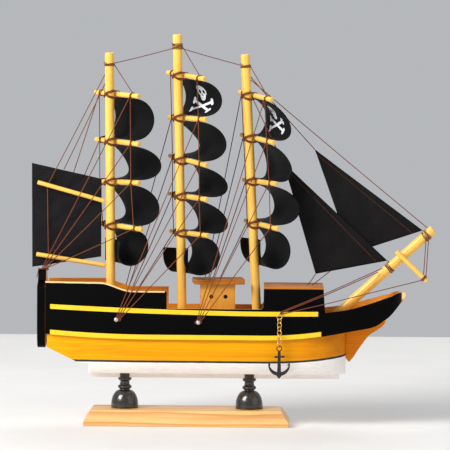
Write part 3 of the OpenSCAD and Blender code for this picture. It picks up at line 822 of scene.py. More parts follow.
# ---------------------------------------------------------------------------
# Spars. Masts, bowsprit and yards are lengths of dowel with eased ends, varnished a pale gold that
# gathers to orange along the grain. Gaff, boom and striker are thinner sticks of the same wood.
# ---------------------------------------------------------------------------
MASTS = {"mizzen": (Vector((-61.5, 0, 87)), Vector((-63.9, 0, 297.3))),
         "main": (Vector((-4.3, 0, 87)), Vector((-9.8, 0, 312.3))),
         "fore": (Vector((55.6, 0, 87)), Vector((44.6, 0, 296.7)))}
SPRIT = (Vector((117.4, 0, 87)), Vector((196.3, 0, 157.9)))
STRIKER = (Vector((166.6, -6.05, 140.3)), Vector((191.3, -6.05, 116.6)))
mast_r, sprit_r, yard_r, stick_r, mast_set = 3.7, 3.95, 2.0, 1.75, 12.0
yard_half, yard_off, tie_s = 32.0, 5.75, 23.04
BRACE = {"mizzen": 35, "main": 29, "fore": 24}
YARDS = {"mizzen": [(264, 2, 2), (226, 2, 2), (193.6, -1, 2), (158.4, 2, 6)],
         "main": [(279.2, 4, 3), (245.2, 0.5, 4), (211.4, 5, 4), (182.4, 1.5, 3), (153, 0, 4)],
         "fore": [(263.6, 4.5, 4), (229.4, 4, 4), (194.9, 0.5, 5), (160.5, 3, 4)]}


def spar_wood_finish(name, light, dark, late):
    """Varnished dowel: streaky birch with long pores, darker where the varnish pooled."""
    finish = wood(name, light, dark, (0.001, 0.006), 0.0013, 0.003, run=2, share=0.45, source=grain_of,
                  Roughness=0.36, Specular_IOR_Level=0.3, Coat_Weight=0.2, Coat_Roughness=0.15)
    at = grain_of(finish)
    streak = finish.noise(finish.scaled(at, (1, 1, 0.05)), 900.0, 3.0, 0.7)
    patch = finish.noise(finish.scaled(at, (1, 1, 0.3)), 130.0, 2.0)
    colour = finish.blend(streak.step(0.55, 0.8) * 0.5, finish.laid_on(), late)
    finish.feed(Base_Color=finish.blend(patch.step(0.5, 0.75) * 0.35, colour, dark))
    return finish


spar_wood = spar_wood_finish("spar_wood", paint(250, 205, 98), paint(232, 156, 40), paint(190, 108, 14))
end_wood = spar_wood_finish("spar_end_grain", paint(240, 196, 120), paint(196, 128, 56), paint(160, 92, 34))


def at_height(mast, z):
    """The place on a mast's middle line at this height."""
    foot, head = MASTS[mast]
    return foot.lerp(head, (z - foot.z) / (head.z - foot.z))


def dowel(name, foot, head, radius, seed, *nodes, ease=0.8, slot="spar_wood"):
    """A length of dowel from foot to head, with eased ends and slight unevenness from sanding."""
    length = (Vector(head) - Vector(foot)).length
    lips = arc((radius - ease, length - ease), ease, 0, 90, 5)
    steps = [length * k / 16 for k in range(1, 16)]
    worn = [(radius * (1 - 0.008 * (1 + math.sin(seed * 5 + k * 2.3))), s) for k, s in enumerate(steps)]
    profile = [(0, 0)] + [(r, length - s) for r, s in lips[::-1]] + worn + lips + [(0, length)]
    piece = turned(name, foot, head, profile, [spar_wood, end_wood], 32, radius - ease, seed)
    return fit(piece, slot, *nodes)


for seed, (mast, (foot, head)) in enumerate(MASTS.items()):
    down = (foot - head).normalized() * mast_set
    dowel(f"{mast}_mast_dowel", foot + down, head, mast_r, seed, f"{mast}_mast", ease=1.1)
dowel("bowsprit_dowel", SPRIT[0].lerp(SPRIT[1], -0.05), SPRIT[1], sprit_r, 4, "bowsprit", ease=1.0)
dowel("striker_stick", *STRIKER, yard_r, 5, "dolphin_striker", ease=0.6)
dowel("gaff_stick", (-120.9, 0, 193.1), (-67.2, 0, 178.3), stick_r, 6, "gaff", ease=0.5)
dowel("boom_stick", (-121.6, 0, 135.4), (-66.4, 0, 126.8), stick_r, 7, "boom", ease=0.5)


def forward(mast):
    """The level direction ahead of a braced yard."""
    b = math.radians(BRACE[mast])
    return Vector((math.cos(b), math.sin(b), 0))


def yard_line(mast, tilt):
    """The direction along a yard, to its port end."""
    b, t = math.radians(BRACE[mast]), math.radians(tilt)
    return Vector((-math.sin(b) * math.cos(t), math.cos(b) * math.cos(t), math.sin(t)))


def yard_middle(mast, i):
    height, _, shift = YARDS[mast][i]
    ahead = forward(mast)
    return at_height(mast, height) + ahead * yard_off + ahead.cross(UP) * shift


def yard_point(mast, i, s):
    """The place on a yard's middle line, s from its middle towards port."""
    return yard_middle(mast, i) + yard_line(mast, YARDS[mast][i][1]) * s


for mast, yards in YARDS.items():
    for i in range(len(yards)):
        ends = (yard_point(mast, i, s) for s in (-yard_half, yard_half))
        dowel(f"{mast}_yard_{i + 1}_dowel", *ends, yard_r, 10 + 7 * i + len(mast), f"{mast}_yard_{i + 1}",
              ease=0.7)

# ---------------------------------------------------------------------------
# Square sails. Stiffened black cotton, cut square, glued along the yards above and below and puffed out
# ahead of the mast. The lowest on each mast are free at the foot, which curls back up round the mast.
# The top sails of the main and fore masts carry a white printed skull and crossbones.
# ---------------------------------------------------------------------------
sail_w, cloth_t = 50.0, 0.45
low_sail_w = 47.0
sail_down, sail_across = 60, 32
BELLIES = {"mizzen": [19, 26, 22, 13.2],
           "main": [18, 21.5, 23, 22, 15.5],
           "fore": [18.5, 17.8, 23.5, 13.5]}
SAGS = {"mizzen": [0, 3, 2, 0], "main": [1, 2, 5, 6, 0], "fore": [7, 6, 3, 0]}
CURLS = {"mizzen": (27, -2.5), "main": (29.6, -1), "fore": (30.4, 1.4)}
# How each sail's port edge differs from its starboard one: extra belly, fullness and twist
PORT_EDGES = {"mizzen": [(-5, 1, 0), (0, 0.6, -3), (-1, 0.7, -3), (0, 1, 0)],
              "main": [(-6, 1, 0), (0, 0.9, -5), (1, 0.4, 0), (0, 0.6, -1), (0, 1, 0)],
              "fore": [(0, 0.55, 2), (0, 0.45, 0), (0, 0.6, 0), (0, 1, 0)]}


def cloth(name, light, dark, weave=0.00034, sheer=None, **uniform):
    """Plain-woven cloth, by the piece's own coordinates in metres of cloth: over-and-under yarns, slubs
    and slow changes of tone. A sheer cloth lets light through between its yarns."""
    finish = Finish(name, **uniform)
    at = finish.place(source="UV")
    u, v, _ = finish.axes(at)
    warp = (u * (math.pi / weave)).math("SINE")
    weft = (v * (math.pi / weave)).math("SINE")
    over = warp * weft
    yarns = (1 - abs(warp) ** 2) * (0.5 + over * 0.5) + (1 - abs(weft) ** 2) * (0.5 - over * 0.5)
    slubs = finish.noise(finish.place((30, 900, 1), "UV"), 1.0, 3.0, 0.6)
    cross_slubs = finish.noise(finish.place((900, 30, 1), "UV"), 1.0, 3.0, 0.6)
    tone = finish.noise(finish.place(), 45.0, 3.0)
    shade = yarns * 0.3 + (slubs + cross_slubs) * 0.3 + tone * 0.35
    finish.colour = finish.blend(shade.step(0.3, 0.9), dark, light)
    finish.relief = yarns + (slubs + cross_slubs) * 0.6
    finish.feed(Base_Color=finish.colour, Normal=finish.bump(finish.relief, 0.00012, 0.7))
    if sheer:
        finish.feed(Alpha=(sheer[0] + yarns * sheer[1] + (slubs - 0.5) * 0.2).low(1.0).high(0.0))
    return finish


def cloth_sheet(name, rows, flat_at, finish):
    """A woven sheet over a grid of points in millimetres. flat_at gives the place of the grid's point
    i, j on the cloth laid flat, in millimetres, and the weave follows it."""
    obj = build(name, joined(rows), lattice(rows), [finish])
    uv = obj.data.uv_layers.new(name="cloth")
    for loop in obj.data.loops:
        u, v = flat_at(*divmod(loop.vertex_index, len(rows[0])))
        uv.data[loop.index].uv = (u * MM, v * MM)
    thick = obj.modifiers.new("cloth", "SOLIDIFY")
    thick.thickness, thick.offset = cloth_t * MM, 0
    return obj


def drops(rows):
    """How far down the cloth each row is, as the mean over its columns."""
    down = [0.0]
    for above, below in zip(rows, rows[1:]):
        steps = [(b - a).length for a, b in zip(above, below)]
        down.append(down[-1] + sum(steps) / len(steps))
    return down


def black_cotton(name):
    """The cloth of the square sails, before anything is printed on it."""
    return cloth(name, paint(15, 15, 17), paint(4, 4, 5), Roughness=0.7, Specular_IOR_Level=0.1,
                 Sheen_Weight=0.02, Sheen_Roughness=0.5)


sail_cloth = black_cotton("black_cloth")


def disc(finish, x, y, middle, radii):
    """1 inside an ellipse, 0 outside, with a soft edge."""
    return 1 - (((x - middle[0]) / radii[0]) ** 2 + ((y - middle[1]) / radii[1]) ** 2).step(0.9, 1.1)


def emblem(finish, u, down):
    """The print, in millimetres across the cloth and down it: a skull over two crossed bones."""
    x, y = abs(u), down - 19.2
    white = disc(finish, x, y, (0, -1.6), (5.9, 5.2)).high(disc(finish, x, y, (0, 3.4), (3.5, 3.4)))
    eyes = disc(finish, x, y, (2.5, -0.6), (1.6, 1.75))
    nose = disc(finish, x, y, (0, 2.3), (0.75, 1.1))
    gaps = abs((x / 1.5 + 0.5).math("FRACT") - 0.5).step(0.0, 0.16)
    mouth = (1 - gaps) * (y > 3.9) * (y < 6.0)
    white = white - eyes.high(nose).high(mouth)
    for turn in (20, -20):
        c, s = math.cos(math.radians(turn)), math.sin(math.radians(turn))
        along_bone, off = abs(u * c + (down - 30.6) * s), abs(u * -s + (down - 30.6) * c)
        beyond = (along_bone - 11.4).high(0.0)
        shaft = (beyond ** 2 + off ** 2) ** 0.5
        knob = ((along_bone - 12.2) ** 2 + (off - 1.25) ** 2) ** 0.5
        white = white.high(1 - shaft.step(0.95, 1.2)).high(1 - knob.step(1.5, 1.8))
    return white.high(0.0).low(1.0)


flag_cloth = black_cotton("flag_cloth")
u, v, _ = flag_cloth.axes(flag_cloth.place((1000, 1000, 1), "UV"))
ragged = flag_cloth.noise(flag_cloth.place(source="UV"), 1400.0, 3.0, 0.6) - 0.5
ink = emblem(flag_cloth, u + ragged * 0.5, v + ragged * 0.5)
rubbed = flag_cloth.noise(flag_cloth.place(source="UV"), 700.0, 4.0, 0.7).step(0.2, 0.42)
flag_cloth.feed(Base_Color=flag_cloth.blend(ink * rubbed * 0.94, flag_cloth.colour, paint(232, 234, 238)),
                Normal=flag_cloth.bump(flag_cloth.relief + ink * 0.5, 0.00012, 0.7))


def sail_rows(mast, i, wide):
    """The sail's grid of points: lines across it, from the yard down."""
    last = i == len(YARDS[mast]) - 1
    belly, sag, seed = BELLIES[mast][i], SAGS[mast][i], i * 1.7 + len(mast)
    curl, lean = CURLS[mast] if last else (0, 0)
    top = yard_middle(mast, i) - UP * (yard_r + 0.4)
    low = top - UP * curl if last else yard_middle(mast, i + 1) + UP * (yard_r + 0.6)
    height = top.z - low.z
    tilts = [YARDS[mast][n][1] for n in (i, i if last else i + 1)]
    rows = []
    for k in range(sail_down + 1):
        share = k / sail_down
        a = math.radians((290 if last else 180) * share)
        hung = (1 - math.cos(a)) / 2
        down = height * hung + sag * math.sin(a)
        start = top.lerp(Vector((low.x, low.y, top.z)), hung)
        line = yard_line(mast, tilts[0] + (tilts[1] - tilts[0]) * share)
        row = []
        for j in range(sail_across + 1):
            s = wide * (j / sail_across - 0.5)
            port = (j / sail_across) ** 1.3
            extra, full, twist = PORT_EDGES[mast][i]
            swell = math.copysign(abs(math.sin(a)) ** (1 + (full - 1) * port), math.sin(a))
            puff = (belly + extra * port) * swell + twist * port * math.sin(2 * a) + 2 * lean * hung
            puff += 0.5 * math.sin(a) * math.sin(s / 9 + seed)
            puff += 0.3 * math.sin(a * 2) * math.cos(s / 14 + seed)
            if last and a > 1 and puff < 0.6:
                beside = YARDS[mast][i][2] - s if mast == "mizzen" else abs(s - YARDS[mast][i][2])
                puff = 0.6 + (puff - 0.6) * min(1.0, max(0.0, beside) / 27) ** 1.15
            row.append(start + line * s + forward(mast) * puff - UP * down)
        rows.append(row)
    return rows


for mast, yards in YARDS.items():
    for i in range(len(yards)):
        wide = low_sail_w if i == len(yards) - 1 else sail_w
        rows = sail_rows(mast, i, wide)
        down = drops(rows)
        sail = cloth_sheet(f"{mast}_sail_{i + 1}_cloth", rows,
                           lambda row, j: (wide * (j / sail_across - 0.5), down[row]),
                           flag_cloth if i == 0 and mast != "mizzen" else sail_cloth)
        fit(sail, "black_cloth", f"{mast}_sail_{i + 1}")
        down[-1] * MM

# ---------------------------------------------------------------------------
# Spanker. A four-sided sail of sheer black cloth behind the gaff and boom, creased where the threads hold it.
# ---------------------------------------------------------------------------
sheer_cloth = cloth("sheer_cloth", paint(24, 22, 25), paint(7, 6, 8), weave=0.0005, sheer=(0.8, 0.3),
                    Roughness=0.85, Specular_IOR_Level=0.15)
SPANKER = [(-125, 125), (-125.7, 208.8), (-69.7, 196.4), (-69.7, 133.7)]
spanker_y = 2.4


def cut_area(corners):
    """Area of a flat cut, in square metres."""
    return abs(outline_area(corners)) * MM ** 2


def span(start, end, share):
    return Vector(start).lerp(Vector(end), share)


def flat_sail(name, edge_a, edge_b, y, ripple, finish, slot, node, corners, flat, size=(40, 40)):
    """A flat sail between two edges, each given as its head and foot, with soft creases across it."""
    rows, flat_xz = [], []
    for k in range(size[1] + 1):
        share = 0.004 + 0.996 * k / size[1]
        start, end = span(*edge_a, share), span(*edge_b, share)
        ring = [start.lerp(end, j / size[0]) for j in range(size[0] + 1)]
        flat_xz.append(ring)
        inward = [min(1, 6 * (j / size[0]) * (1 - j / size[0])) for j in range(size[0] + 1)]
        rows.append([Vector((q.x, y + ripple(q.x, q.y) * t, q.y)) for t, q in zip(inward, ring)])
    sail = cloth_sheet(name, rows, lambda i, j: flat_xz[i][j], finish)
    fit(sail, slot, node)
    flat[0] * MM
    flat[1] * MM
    cut_area(corners)
    return sail


def spanker_ripple(x, z):
    """Long creases from the upper fore corner to the lower aft one."""
    slant = (x + 97) * 0.55 - (z - 165) * 0.8
    return 0.45 * math.sin(slant / 4.1) + 0.3 * math.sin(slant / 1.9 + x / 11)


flat_sail("spanker_cloth", (SPANKER[1], SPANKER[0]), (SPANKER[2], SPANKER[3]), spanker_y, spanker_ripple,
          sheer_cloth, "black_cloth", "spanker", SPANKER, (56.0, 83.9),
          (48, 48))

# ---------------------------------------------------------------------------
# Jibs. Two long three-sided sails of charcoal cloth on stays from the fore mast to the bowsprit. A hem
# that widens downwards is stitched along the fore edge of each.
# ---------------------------------------------------------------------------
jib_cloth = cloth("charcoal_cloth", paint(27, 25, 26), paint(9, 8, 9), weave=0.0005, Roughness=0.9,
                  Specular_IOR_Level=0.15)
specks = jib_cloth.noise(jib_cloth.place(), 420.0, 3.0, 0.75).step(0.68, 0.76)
jib_cloth.feed(Base_Color=jib_cloth.blend(specks * 0.45, jib_cloth.colour, paint(84, 58, 46)))
JIBS = {"outer_jib": ([(101, 221), (187.9, 156.9), (130.8, 137.8)], 1.6),
        "inner_jib": ([(75.8, 210.4), (159.8, 132.6), (102.4, 121.5)], -1.6)}


def jib_ripple(x, z):
    return 0.35 * math.sin((x * 0.6 + z * 0.35) / 5.3) + 0.2 * math.sin((x - z) / 4.2)


stitch_runs = []
for node, (corners, y) in JIBS.items():
    head, tack, clew = (Vector(c) for c in corners)
    luff = (tack - head).length
    flat_sail(f"{node}_cloth", (head, tack), (head, clew), y, jib_ripple,
              jib_cloth, "grey_cloth", node, corners,
              (luff, 2 * cut_area(corners) / MM ** 2 / luff))
    inward = (clew - head) - (tack - head) * (clew - head).dot(tack - head) / luff ** 2
    inward.normalize()
    run = [span(head, tack, t) + inward * (2 + 5 * t) for t in (0.04 + 0.9 * k / 60 for k in range(61))]
    for side in (-1, 1):
        thread_y = y + side * (cloth_t / 2 + 0.12)
        stitch_runs.append([Vector((q.x, thread_y + jib_ripple(q.x, q.y) * 0.45, q.y)) for q in run])


def node_group(name, **inputs):
    """A geometry node group that takes a geometry and these inputs, each with a socket type and value."""
    group = bpy.data.node_groups.new(name, "GeometryNodeTree")
    group.interface.new_socket("Geometry", in_out="OUTPUT", socket_type="NodeSocketGeometry")
    group.interface.new_socket("Geometry", in_out="INPUT", socket_type="NodeSocketGeometry")
    for label, (kind, value) in inputs.items():
        socket = group.interface.new_socket(label.replace("_", " "), in_out="INPUT",
                                            socket_type=f"NodeSocket{kind}")
        if value is not None:
            socket.default_value = value
    entry, leave = group.nodes.new("NodeGroupInput"), group.nodes.new("NodeGroupOutput")
    given = {out.name.replace(" ", "_"): Wire(group, out) for out in entry.outputs if out.name}
    return group, given, leave


def close_group(group, leave, geometry, material):
    """Ends a group: instances made real, a material set, and the result handed on."""
    made = add(group, "GeometryNodeRealizeInstances", {}, {"Geometry": geometry})
    made = add(group, "GeometryNodeSetMaterial", {}, {"Geometry": made, "Material": material})
    group.links.new(made.socket, leave.inputs[0])


def grow(name, runs, group, **values):
    """Runs a node group over lines through points in millimetres, and keeps what it makes as a mesh."""
    points = [Vector(p) * MM for p in joined(runs)]
    edges, start = [], 0
    for run in runs:
        edges += [(k, k + 1) for k in range(start, start + len(run) - 1)]
        start += len(run)
    mesh = bpy.data.meshes.new(name)
    mesh.from_pydata(points, edges, [])
    obj = bpy.data.objects.new(name, mesh)
    scene.collection.objects.link(obj)
    modifier = obj.modifiers.new(group.name, "NODES")
    modifier.node_group = group
    for item in group.interface.items_tree:
        if item.in_out == "INPUT" and item.name.replace(" ", "_") in values:
            modifier[item.identifier] = values[item.name.replace(" ", "_")]
    made = bpy.data.meshes.new_from_object(obj.evaluated_get(bpy.context.evaluated_depsgraph_get()))
    obj.modifiers.remove(modifier)
    obj.data = made
    return obj


thread_finish = Finish("thread", Roughness=0.75, Specular_IOR_Level=0.2)
run_at = thread_finish.add("ShaderNodeAttribute", {"attribute_name": "thread_run"}, {}, "Fac")
ring_x, ring_y, _ = thread_finish.axes(
    thread_finish.add("ShaderNodeAttribute", {"attribute_name": "thread_round"}, {}, "Vector"))
phase = ring_y.math("ARCTAN2", ring_x) * 3 + run_at * (2 * math.pi / 0.0007)
lay = phase.math("SINE") * 0.5 + 0.5
shade = thread_finish.noise(thread_finish.place(), 300.0, 2.0)
colour = thread_finish.blend(lay ** 0.7, paint(66, 30, 16), paint(146, 82, 50))
thread_finish.feed(Base_Color=thread_finish.blend(shade.step(0.45, 0.7) * 0.4, colour, paint(104, 56, 34)),
                   Normal=thread_finish.bump(lay, 0.00009, 0.8))

twine, given, leave = node_group("twine", Radius=("Float", 0.00035), Sides=("Int", 8),
                                 Material=("Material", None))
line = add(twine, "GeometryNodeMeshToCurve", {}, {"Mesh": given["Geometry"]})
length = add(twine, "GeometryNodeSplineParameter", out="Length")
line = add(twine, "GeometryNodeStoreNamedAttribute", {"data_type": "FLOAT", "domain": "POINT"},
           {"Geometry": line, "Name": "thread_run", "Value": length})
ring = add(twine, "GeometryNodeCurvePrimitiveCircle", {},
           {"Resolution": given["Sides"], "Radius": given["Radius"]})
ring = add(twine, "GeometryNodeStoreNamedAttribute", {"data_type": "FLOAT_VECTOR", "domain": "POINT"},
           {"Geometry": ring, "Name": "thread_round", "Value": add(twine, "GeometryNodeInputPosition")})
tube = add(twine, "GeometryNodeCurveToMesh", {}, {"Curve": line, "Profile Curve": ring, "Fill Caps": True})
close_group(twine, leave, add(twine, "GeometryNodeSetShadeSmooth", {}, {"Geometry": tube}), given["Material"])

stitching, given, leave = node_group("stitching", Spacing=("Float", 0.0016), Radius=("Float", 0.00018),
                                     Material=("Material", None))
line = add(stitching, "GeometryNodeMeshToCurve", {}, {"Mesh": given["Geometry"]})
dots = add(stitching, "GeometryNodeCurveToPoints", {"mode": "LENGTH"},
           {"Curve": line, "Length": given["Spacing"]})
turns = Wire(stitching, dots.socket.node.outputs["Rotation"])
bead = add(stitching, "GeometryNodeMeshCylinder", {},
           {"Vertices": 6, "Radius": given["Radius"], "Depth": 0.00095}, "Mesh")
placed = add(stitching, "GeometryNodeInstanceOnPoints", {},
             {"Points": dots, "Instance": bead, "Rotation": turns})
close_group(stitching, leave, placed, given["Material"])
stitches = grow("jib_stitches", stitch_runs, stitching, Spacing=0.0016, Material=thread_finish.material)
fit(stitches, "thread")

# ---------------------------------------------------------------------------
# Lashings. Red-brown thread wound crosswise where each yard meets its mast, in plain turns at the mast
# heads, near the yards' ends, and along the bowsprit. Cut ends are left standing.
# ---------------------------------------------------------------------------
thread_r = 0.35


def winding(middle, axis, radius, turns, pitch=0.74, start=0.0, steps=20):
    """A few turns of thread round a spar, as a helix about the middle of the run."""
    axis = Vector(axis).normalized()
    side = axis.cross(Vector((0.31, 0.95, 0.05))).normalized()
    other = axis.cross(side)
    count = int(steps * turns)
    line = []
    for k in range(count + 1):
        t = 2 * math.pi * k / steps + start
        slip = (k / steps - turns / 2) * pitch + 0.12 * math.sin(t * 1.7 + start)
        line.append(Vector(middle) + (side * math.cos(t) + other * math.sin(t)) * radius + axis * slip)
    return line


def clear_of(x, z, middle_x, middle_z, gap):
    """Moves a point in a plane out of a circle."""
    away = math.hypot(x - middle_x, z - middle_z)
    if away >= gap or away == 0:
        return x, z
    return middle_x + (x - middle_x) * gap / away, middle_z + (z - middle_z) * gap / away


def crossing(mast, i, hand, turns=3, steps=40):
    """Thread that crosses over a yard and behind its mast, each turn a little further on."""
    middle, ahead = at_height(mast, YARDS[mast][i][0]), forward(mast)
    across, tilt = UP.cross(ahead), math.tan(math.radians(YARDS[mast][i][1]))
    line = []
    for k in range(turns * steps + 1):
        t = 2 * math.pi * k / steps
        slip = (k / steps - turns / 2) * 0.66
        x, y = 2.05 + 6.1 * math.cos(t), 4.3 * math.sin(t)
        z = hand * 2.7 * math.sin(t) + slip * (1 if math.cos(t) < 0 else 0.5)
        layer = 0.05 if hand > 0 else 0.55
        x, z = clear_of(x, z, yard_off, 0, yard_r + thread_r + layer)
        x, y = clear_of(x, y, 0, 0, mast_r + thread_r + layer)
        line.append(middle + ahead * x + across * y + UP * (z + tilt * y))
    return line


def tail(at, toward, length=3.2, seed=0):
    """A cut end of thread that stands off a knot in a slight curve."""
    toward = Vector(toward).normalized()
    bend = Vector((math.sin(seed * 3), math.cos(seed * 5), math.sin(seed * 7))) * 0.6
    return [Vector(at) + toward * length * t + bend * t * t for t in (0, 0.3, 0.6, 1)]


runs = []
for mast, (foot, head) in MASTS.items():
    turns = 5 if mast == "main" else 3
    ring_at = at_height(mast, head.z - 9.5)
    runs.append(winding(ring_at, head - foot, mast_r + thread_r, turns, 0.95 if mast == "main" else 0.74))
    runs.append(tail(ring_at + Vector((-2.4, -3.2, 0.9)), (-0.7, -0.6, 0.5), 2.6, len(mast)))
    for i in range(len(YARDS[mast])):
        runs += [crossing(mast, i, 1), crossing(mast, i, -1)]
        for s in (-tie_s, tie_s):
            runs.append(winding(yard_point(mast, i, s), yard_line(mast, YARDS[mast][i][1]),
                                yard_r + thread_r, 3, start=i + s))
        knot = yard_point(mast, i, tie_s if i % 2 else -tie_s) - forward(mast) * 2.2
        runs.append(tail(knot, (-0.4, -0.5, 0.9 if i % 2 else -0.8), 3.0, i + len(mast)))
for share, turns in ((0.56, 4), (0.69, 2), (0.915, 2), (0.94, 3)):
    runs.append(winding(SPRIT[0].lerp(SPRIT[1], share), SPRIT[1] - SPRIT[0], sprit_r + thread_r,
                        turns, 0.85, share))
runs.append(winding(STRIKER[0].lerp(STRIKER[1], 0.9), STRIKER[1] - STRIKER[0], yard_r + thread_r,
                    3, 0.72))
crest_top = transom_high.z
for n, lift in enumerate((0.5, 1.3)):
    loop_z = crest_top + lift - 1.2
    runs.append([Vector((-116 + 4.1 * math.cos(t), 4.4 * math.sin(t), loop_z + 0.4 * math.sin(t * 2 + n)))
                 for t in (math.pi * k / 16 for k in range(33))])
runs.append(tail((-119.8, -1.5, crest_top - 0.6), (-0.15, -0.3, -1), 7.0, 2))
lashings = grow("thread_lashings", runs, twine, Radius=thread_r * 0.86 * MM, Sides=8,
                Material=thread_finish.material)
fit(lashings, "thread", "lashings")

# ---------------------------------------------------------------------------
# Rigging. Taut lines of the same thread: lifts and ties between the yards, braces to the stern and to a
# pin on each side, stays between the mastheads and to the bowsprit, and stays under it.
# ---------------------------------------------------------------------------
STERN_TIE, PIN_X, PIN_Z = Vector((-117, 0, 124.6)), [-56, 9.2], [85.5, 83.9]
EYE = Vector((73.7, -board_half - strake_t, 91.8))
STRIKER_END = Vector((189.4, -6.05, 118.4))
forecastle_top = roof_high.z


def rail_z(x):
    return poop_z(x) if x < poop_x else waist_z


def over_rail(start, end, side):
    """Where a line to a hull pin bends over the edge of the side board."""
    z = rail_z(end.x + 12)
    x = end.x + (z - end.z) / (start.z - end.z) * (start.x - end.x)
    return Vector((x, side * (board_y(x, board_half) + 0.5), rail_z(x) + 0.3))


def yard_back(mast, i, s):
    return yard_point(mast, i, s) - forward(mast) * (yard_r + 0.3)


def slack(start, end, droop=0.0):
    """A line from start to end, hanging a little where it isn't quite taut."""
    shares = [k / 12 for k in range(13)]
    return [Vector(start).lerp(Vector(end), t) - UP * droop * 4 * t * (1 - t) for t in shares]


lines = []
for m, (mast, (foot, head)) in enumerate(MASTS.items()):
    top = at_height(mast, head.z - 9.5) + Vector((mast_r, 0, 0))
    last = len(YARDS[mast]) - 1
    for s in (-tie_s, tie_s):
        lines.append([top, yard_point(mast, 0, s) + UP * yard_r])
        lines.append([yard_back(mast, i, s) for i in range(last + 1)])
    for i in range(1 if mast == "main" else 0, last + 1):
        for side in (-1, 1):
            start = yard_back(mast, i, side * tie_s)
            if m == 0:
                lines.append(slack(start, STERN_TIE + Vector((i, side * 3, -0.6)), 0.5))
            else:
                pin_x, pin_z = PIN_X[m - 1], PIN_Z[m - 1]
                pin = Vector((pin_x + i - 1.5, side * (board_y(pin_x, board_half) + 1), pin_z))
                bend = over_rail(start, pin, side)
                lines.append([start, bend, pin])
                lines.append(winding(pin + Vector((0, side * 0.2, 0)), (0, 1, 0), 1.0, 1.5, 0.5, i))
for start, end in [
    (at_height("mizzen", 288), at_height("main", 302)),
    (at_height("main", 302), at_height("fore", 287)),
    (at_height("fore", 279.5), SPRIT[0].lerp(SPRIT[1], 0.95) + UP * 4),
    (at_height("fore", 283), Vector((101, 1.6, 221))),
    (at_height("fore", 272), Vector((75.8, -1.6, 210.4))),
    (at_height("mizzen", 287), Vector((-112, 0, 192.5))),
    (at_height("mizzen", 280), Vector((-100, 2.4, 203.4))),
    (Vector((-112, 0, 136)), Vector((-113, 0, 189.2))),
    (Vector((102.4, -1.6, 121.5)), Vector((96, -1.6, forecastle_top))),
    (Vector((130.8, 1.6, 137.8)), Vector((100, 1.6, forecastle_top))),
    (Vector((190.5, -4.3, 152)), STRIKER_END - Vector((1, 0, 0))),
    (Vector((192.5, -4.3, 152)), STRIKER_END + Vector((1, 0, 0))),
]:
    lines.append(slack(start, end, 0.4))
for corners, y in JIBS.values():
    tack = Vector((corners[1][0], y, corners[1][1]))
    lines.append([tack, tack + Vector((2.2, 0, -2.4))])
corner_y = -board_y(109, board_half) - 0.6
for lift, end in ((0, Vector((152, -4.3, 123.4))), (0.9, Vector((155.5, -4.3, 126.6))),
                  (-0.9, STRIKER_END + Vector((-2, 0, -1)))):
    start = EYE + Vector((0.8, -0.2, lift))
    share = (109.2 - start.x) / (end.x - start.x)
    lines.append([start, Vector((109.2, corner_y, start.z + share * (end.z - start.z))), end])
rigging = grow("thread_rigging", lines, twine, Radius=thread_r * MM, Sides=10,
               Material=thread_finish.material)
fit(rigging, "thread", "rigging")

# ---------------------------------------------------------------------------
# Hull pins. Round-headed bright pins, two a side, driven through the side boards to hold the braces.
# ---------------------------------------------------------------------------
pin_head = [(0, -4.0), (0.5, -3.8), (0.5, 1.0), (1.75, 1.0), (1.95, 1.25)]
pin_head += [(2 * math.cos(t), 1.4 + 1.95 * math.sin(t)) for t in (math.pi / 2 * k / 12 for k in range(12))]
pin_head += [(0, 3.35)]
for x, z, end_name in ((PIN_X[0], PIN_Z[0], "aft"), (PIN_X[1], PIN_Z[1], "fore")):
    for side, side_name in ((-1, "starboard"), (1, "port")):
        at = Vector((x, side * board_y(x, board_half), z))
        out = at + Vector((0, side, 0))
        pin = turned(f"hull_pin_{end_name}_{side_name}", at, out, pin_head, [plated_steel])
        fit(pin, "steel", "hull_pins")

# ---------------------------------------------------------------------------
# Anchor gear. A brass screw eye in the side, and a jump ring, a short twisted chain and a small cast
# anchor that hang from it, each free to swing.
# ---------------------------------------------------------------------------
brass = Finish("brass", Metallic=1.0)
tarnish = brass.noise(brass.place(), 700.0, 4.0, 0.65)
yellow = brass.ramp(tarnish, (0.3, paint(246, 206, 122)), (0.55, paint(232, 184, 96)),
                    (0.8, paint(176, 124, 60)))
brass.feed(Base_Color=yellow,
           Roughness=0.2 + tarnish * 0.25,
           Normal=brass.bump(tarnish, 0.00002, 0.5))
dark_metal = Finish("dark_metal", Metallic=0.75)
cast = dark_metal.noise(dark_metal.place(), 1500.0, 4.0, 0.7)
dark_metal.feed(Base_Color=dark_metal.ramp(cast, (0.3, paint(34, 33, 35)), (0.8, paint(74, 72, 74))),
                Roughness=0.38 + cast * 0.25,
                Normal=dark_metal.bump(cast, 0.00008, 0.7))
refinish("chain_eye", brass)

eye_ring_y, link_r, wire_r, links = EYE.y - 3.2, 2.0, 0.4, 7
pitch = 2 * link_r - 2 * wire_r - 0.06
ring_z = EYE.z - 1.7 + 0.5 + wire_r + 0.04 - link_r

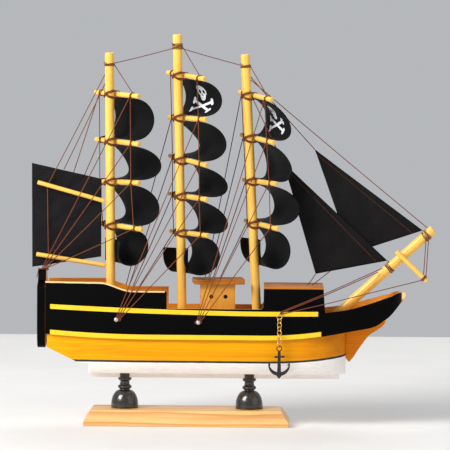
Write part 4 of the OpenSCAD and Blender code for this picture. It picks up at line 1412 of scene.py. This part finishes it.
chain_links, given, leave = node_group("chain_links", Ring=("Float", 0.002), Wire=("Float", 0.0004),
                                       Turn=("Float", 0.0), Material=("Material", None))
ring = add(chain_links, "GeometryNodeCurvePrimitiveCircle", {}, {"Resolution": 40, "Radius": given["Ring"]})
wire = add(chain_links, "GeometryNodeCurvePrimitiveCircle", {}, {"Resolution": 14, "Radius": given["Wire"]})
ring = add(chain_links, "GeometryNodeCurveToMesh", {}, {"Curve": ring, "Profile Curve": wire})
ring = add(chain_links, "GeometryNodeSetShadeSmooth", {}, {"Geometry": ring})
odd = add(chain_links, "GeometryNodeInputIndex").math("MODULO", 2)
turn = add(chain_links, "ShaderNodeCombineXYZ", {},
           {"X": math.pi / 2, "Z": odd * (math.pi / 2) + given["Turn"]})
hung = add(chain_links, "GeometryNodeMeshToPoints", {}, {"Mesh": given["Geometry"]})
hung = add(chain_links, "GeometryNodeInstanceOnPoints", {},
           {"Points": hung, "Instance": ring, "Rotation": turn})
close_group(chain_links, leave, hung, given["Material"])


def ring_row(name, first, count, turn, finish):
    """Rings of wire that hang one from the next, each a quarter turn on from the one above."""
    row = [Vector((EYE.x, eye_ring_y, first - k * pitch)) for k in range(count)]
    return grow(name, [row], chain_links, Ring=link_r * MM, Wire=(wire_r - 0.04) * MM,
                Turn=math.radians(turn), Material=finish.material)


anchor_z = ring_z - (links + 1) * pitch
fit(ring_row("brass_jump_ring", ring_z, 1, 0, brass), "brass", "jump_ring", body="jump_ring")
fit(ring_row("brass_chain", ring_z - pitch, links, 50, brass), "brass", "chain", body="chain")


def anchor_part(name, outline, half, tilt=0.0, round_by=0.4):
    """A flat cast part of the anchor, with its outline given from the middle of the anchor's ring."""
    c, s = math.cos(math.radians(tilt)), math.sin(math.radians(tilt))
    placed = [(EYE.x + x * c - z * s, anchor_z + x * s + z * c) for x, z in outline]
    cast_part = slab(name, placed, half, [dark_metal], eye_ring_y, round_by)
    return fit(cast_part, "dark_metal", "anchor", body="anchor")


arms = [(8.6 * math.cos(t), -13.2 + 8.6 * math.sin(t)) for t in (math.pi * (1 + k / 32) for k in range(33))]
arms += [(7.8 * math.cos(t), -11.6 + 7.2 * math.sin(t))
         for t in (math.pi * (2 - k / 32) - 0.22 * (1 - k / 16) for k in range(33))]
anchor_part("anchor_arms", arms, 0.85)
anchor_part("anchor_shank", [(1.1, -2.1), (1.2, -10), (1.65, -20.5), (2.3, -21.4), (0, -24.2), (-2.3, -21.4),
                             (-1.65, -20.5), (-1.2, -10), (-1.1, -2.1)], 0.9)
anchor_part("anchor_stock", [(4.1, -5.9), (4.1, -7.4), (-4.1, -7.4), (-4.1, -5.9)], 0.85, 3)
for side, side_name in ((-1, "aft"), (1, "fore")):
    outline = [(side * 8.7, -13.4), (side * 6.5, -13.4), (side * 8.2, -10.6)]
    anchor_part(f"anchor_fluke_{side_name}", outline, 0.8, round_by=0.25)
fit(ring_row("anchor_hoop", anchor_z, 1, 0, dark_metal), "dark_metal", "anchor", body="anchor")
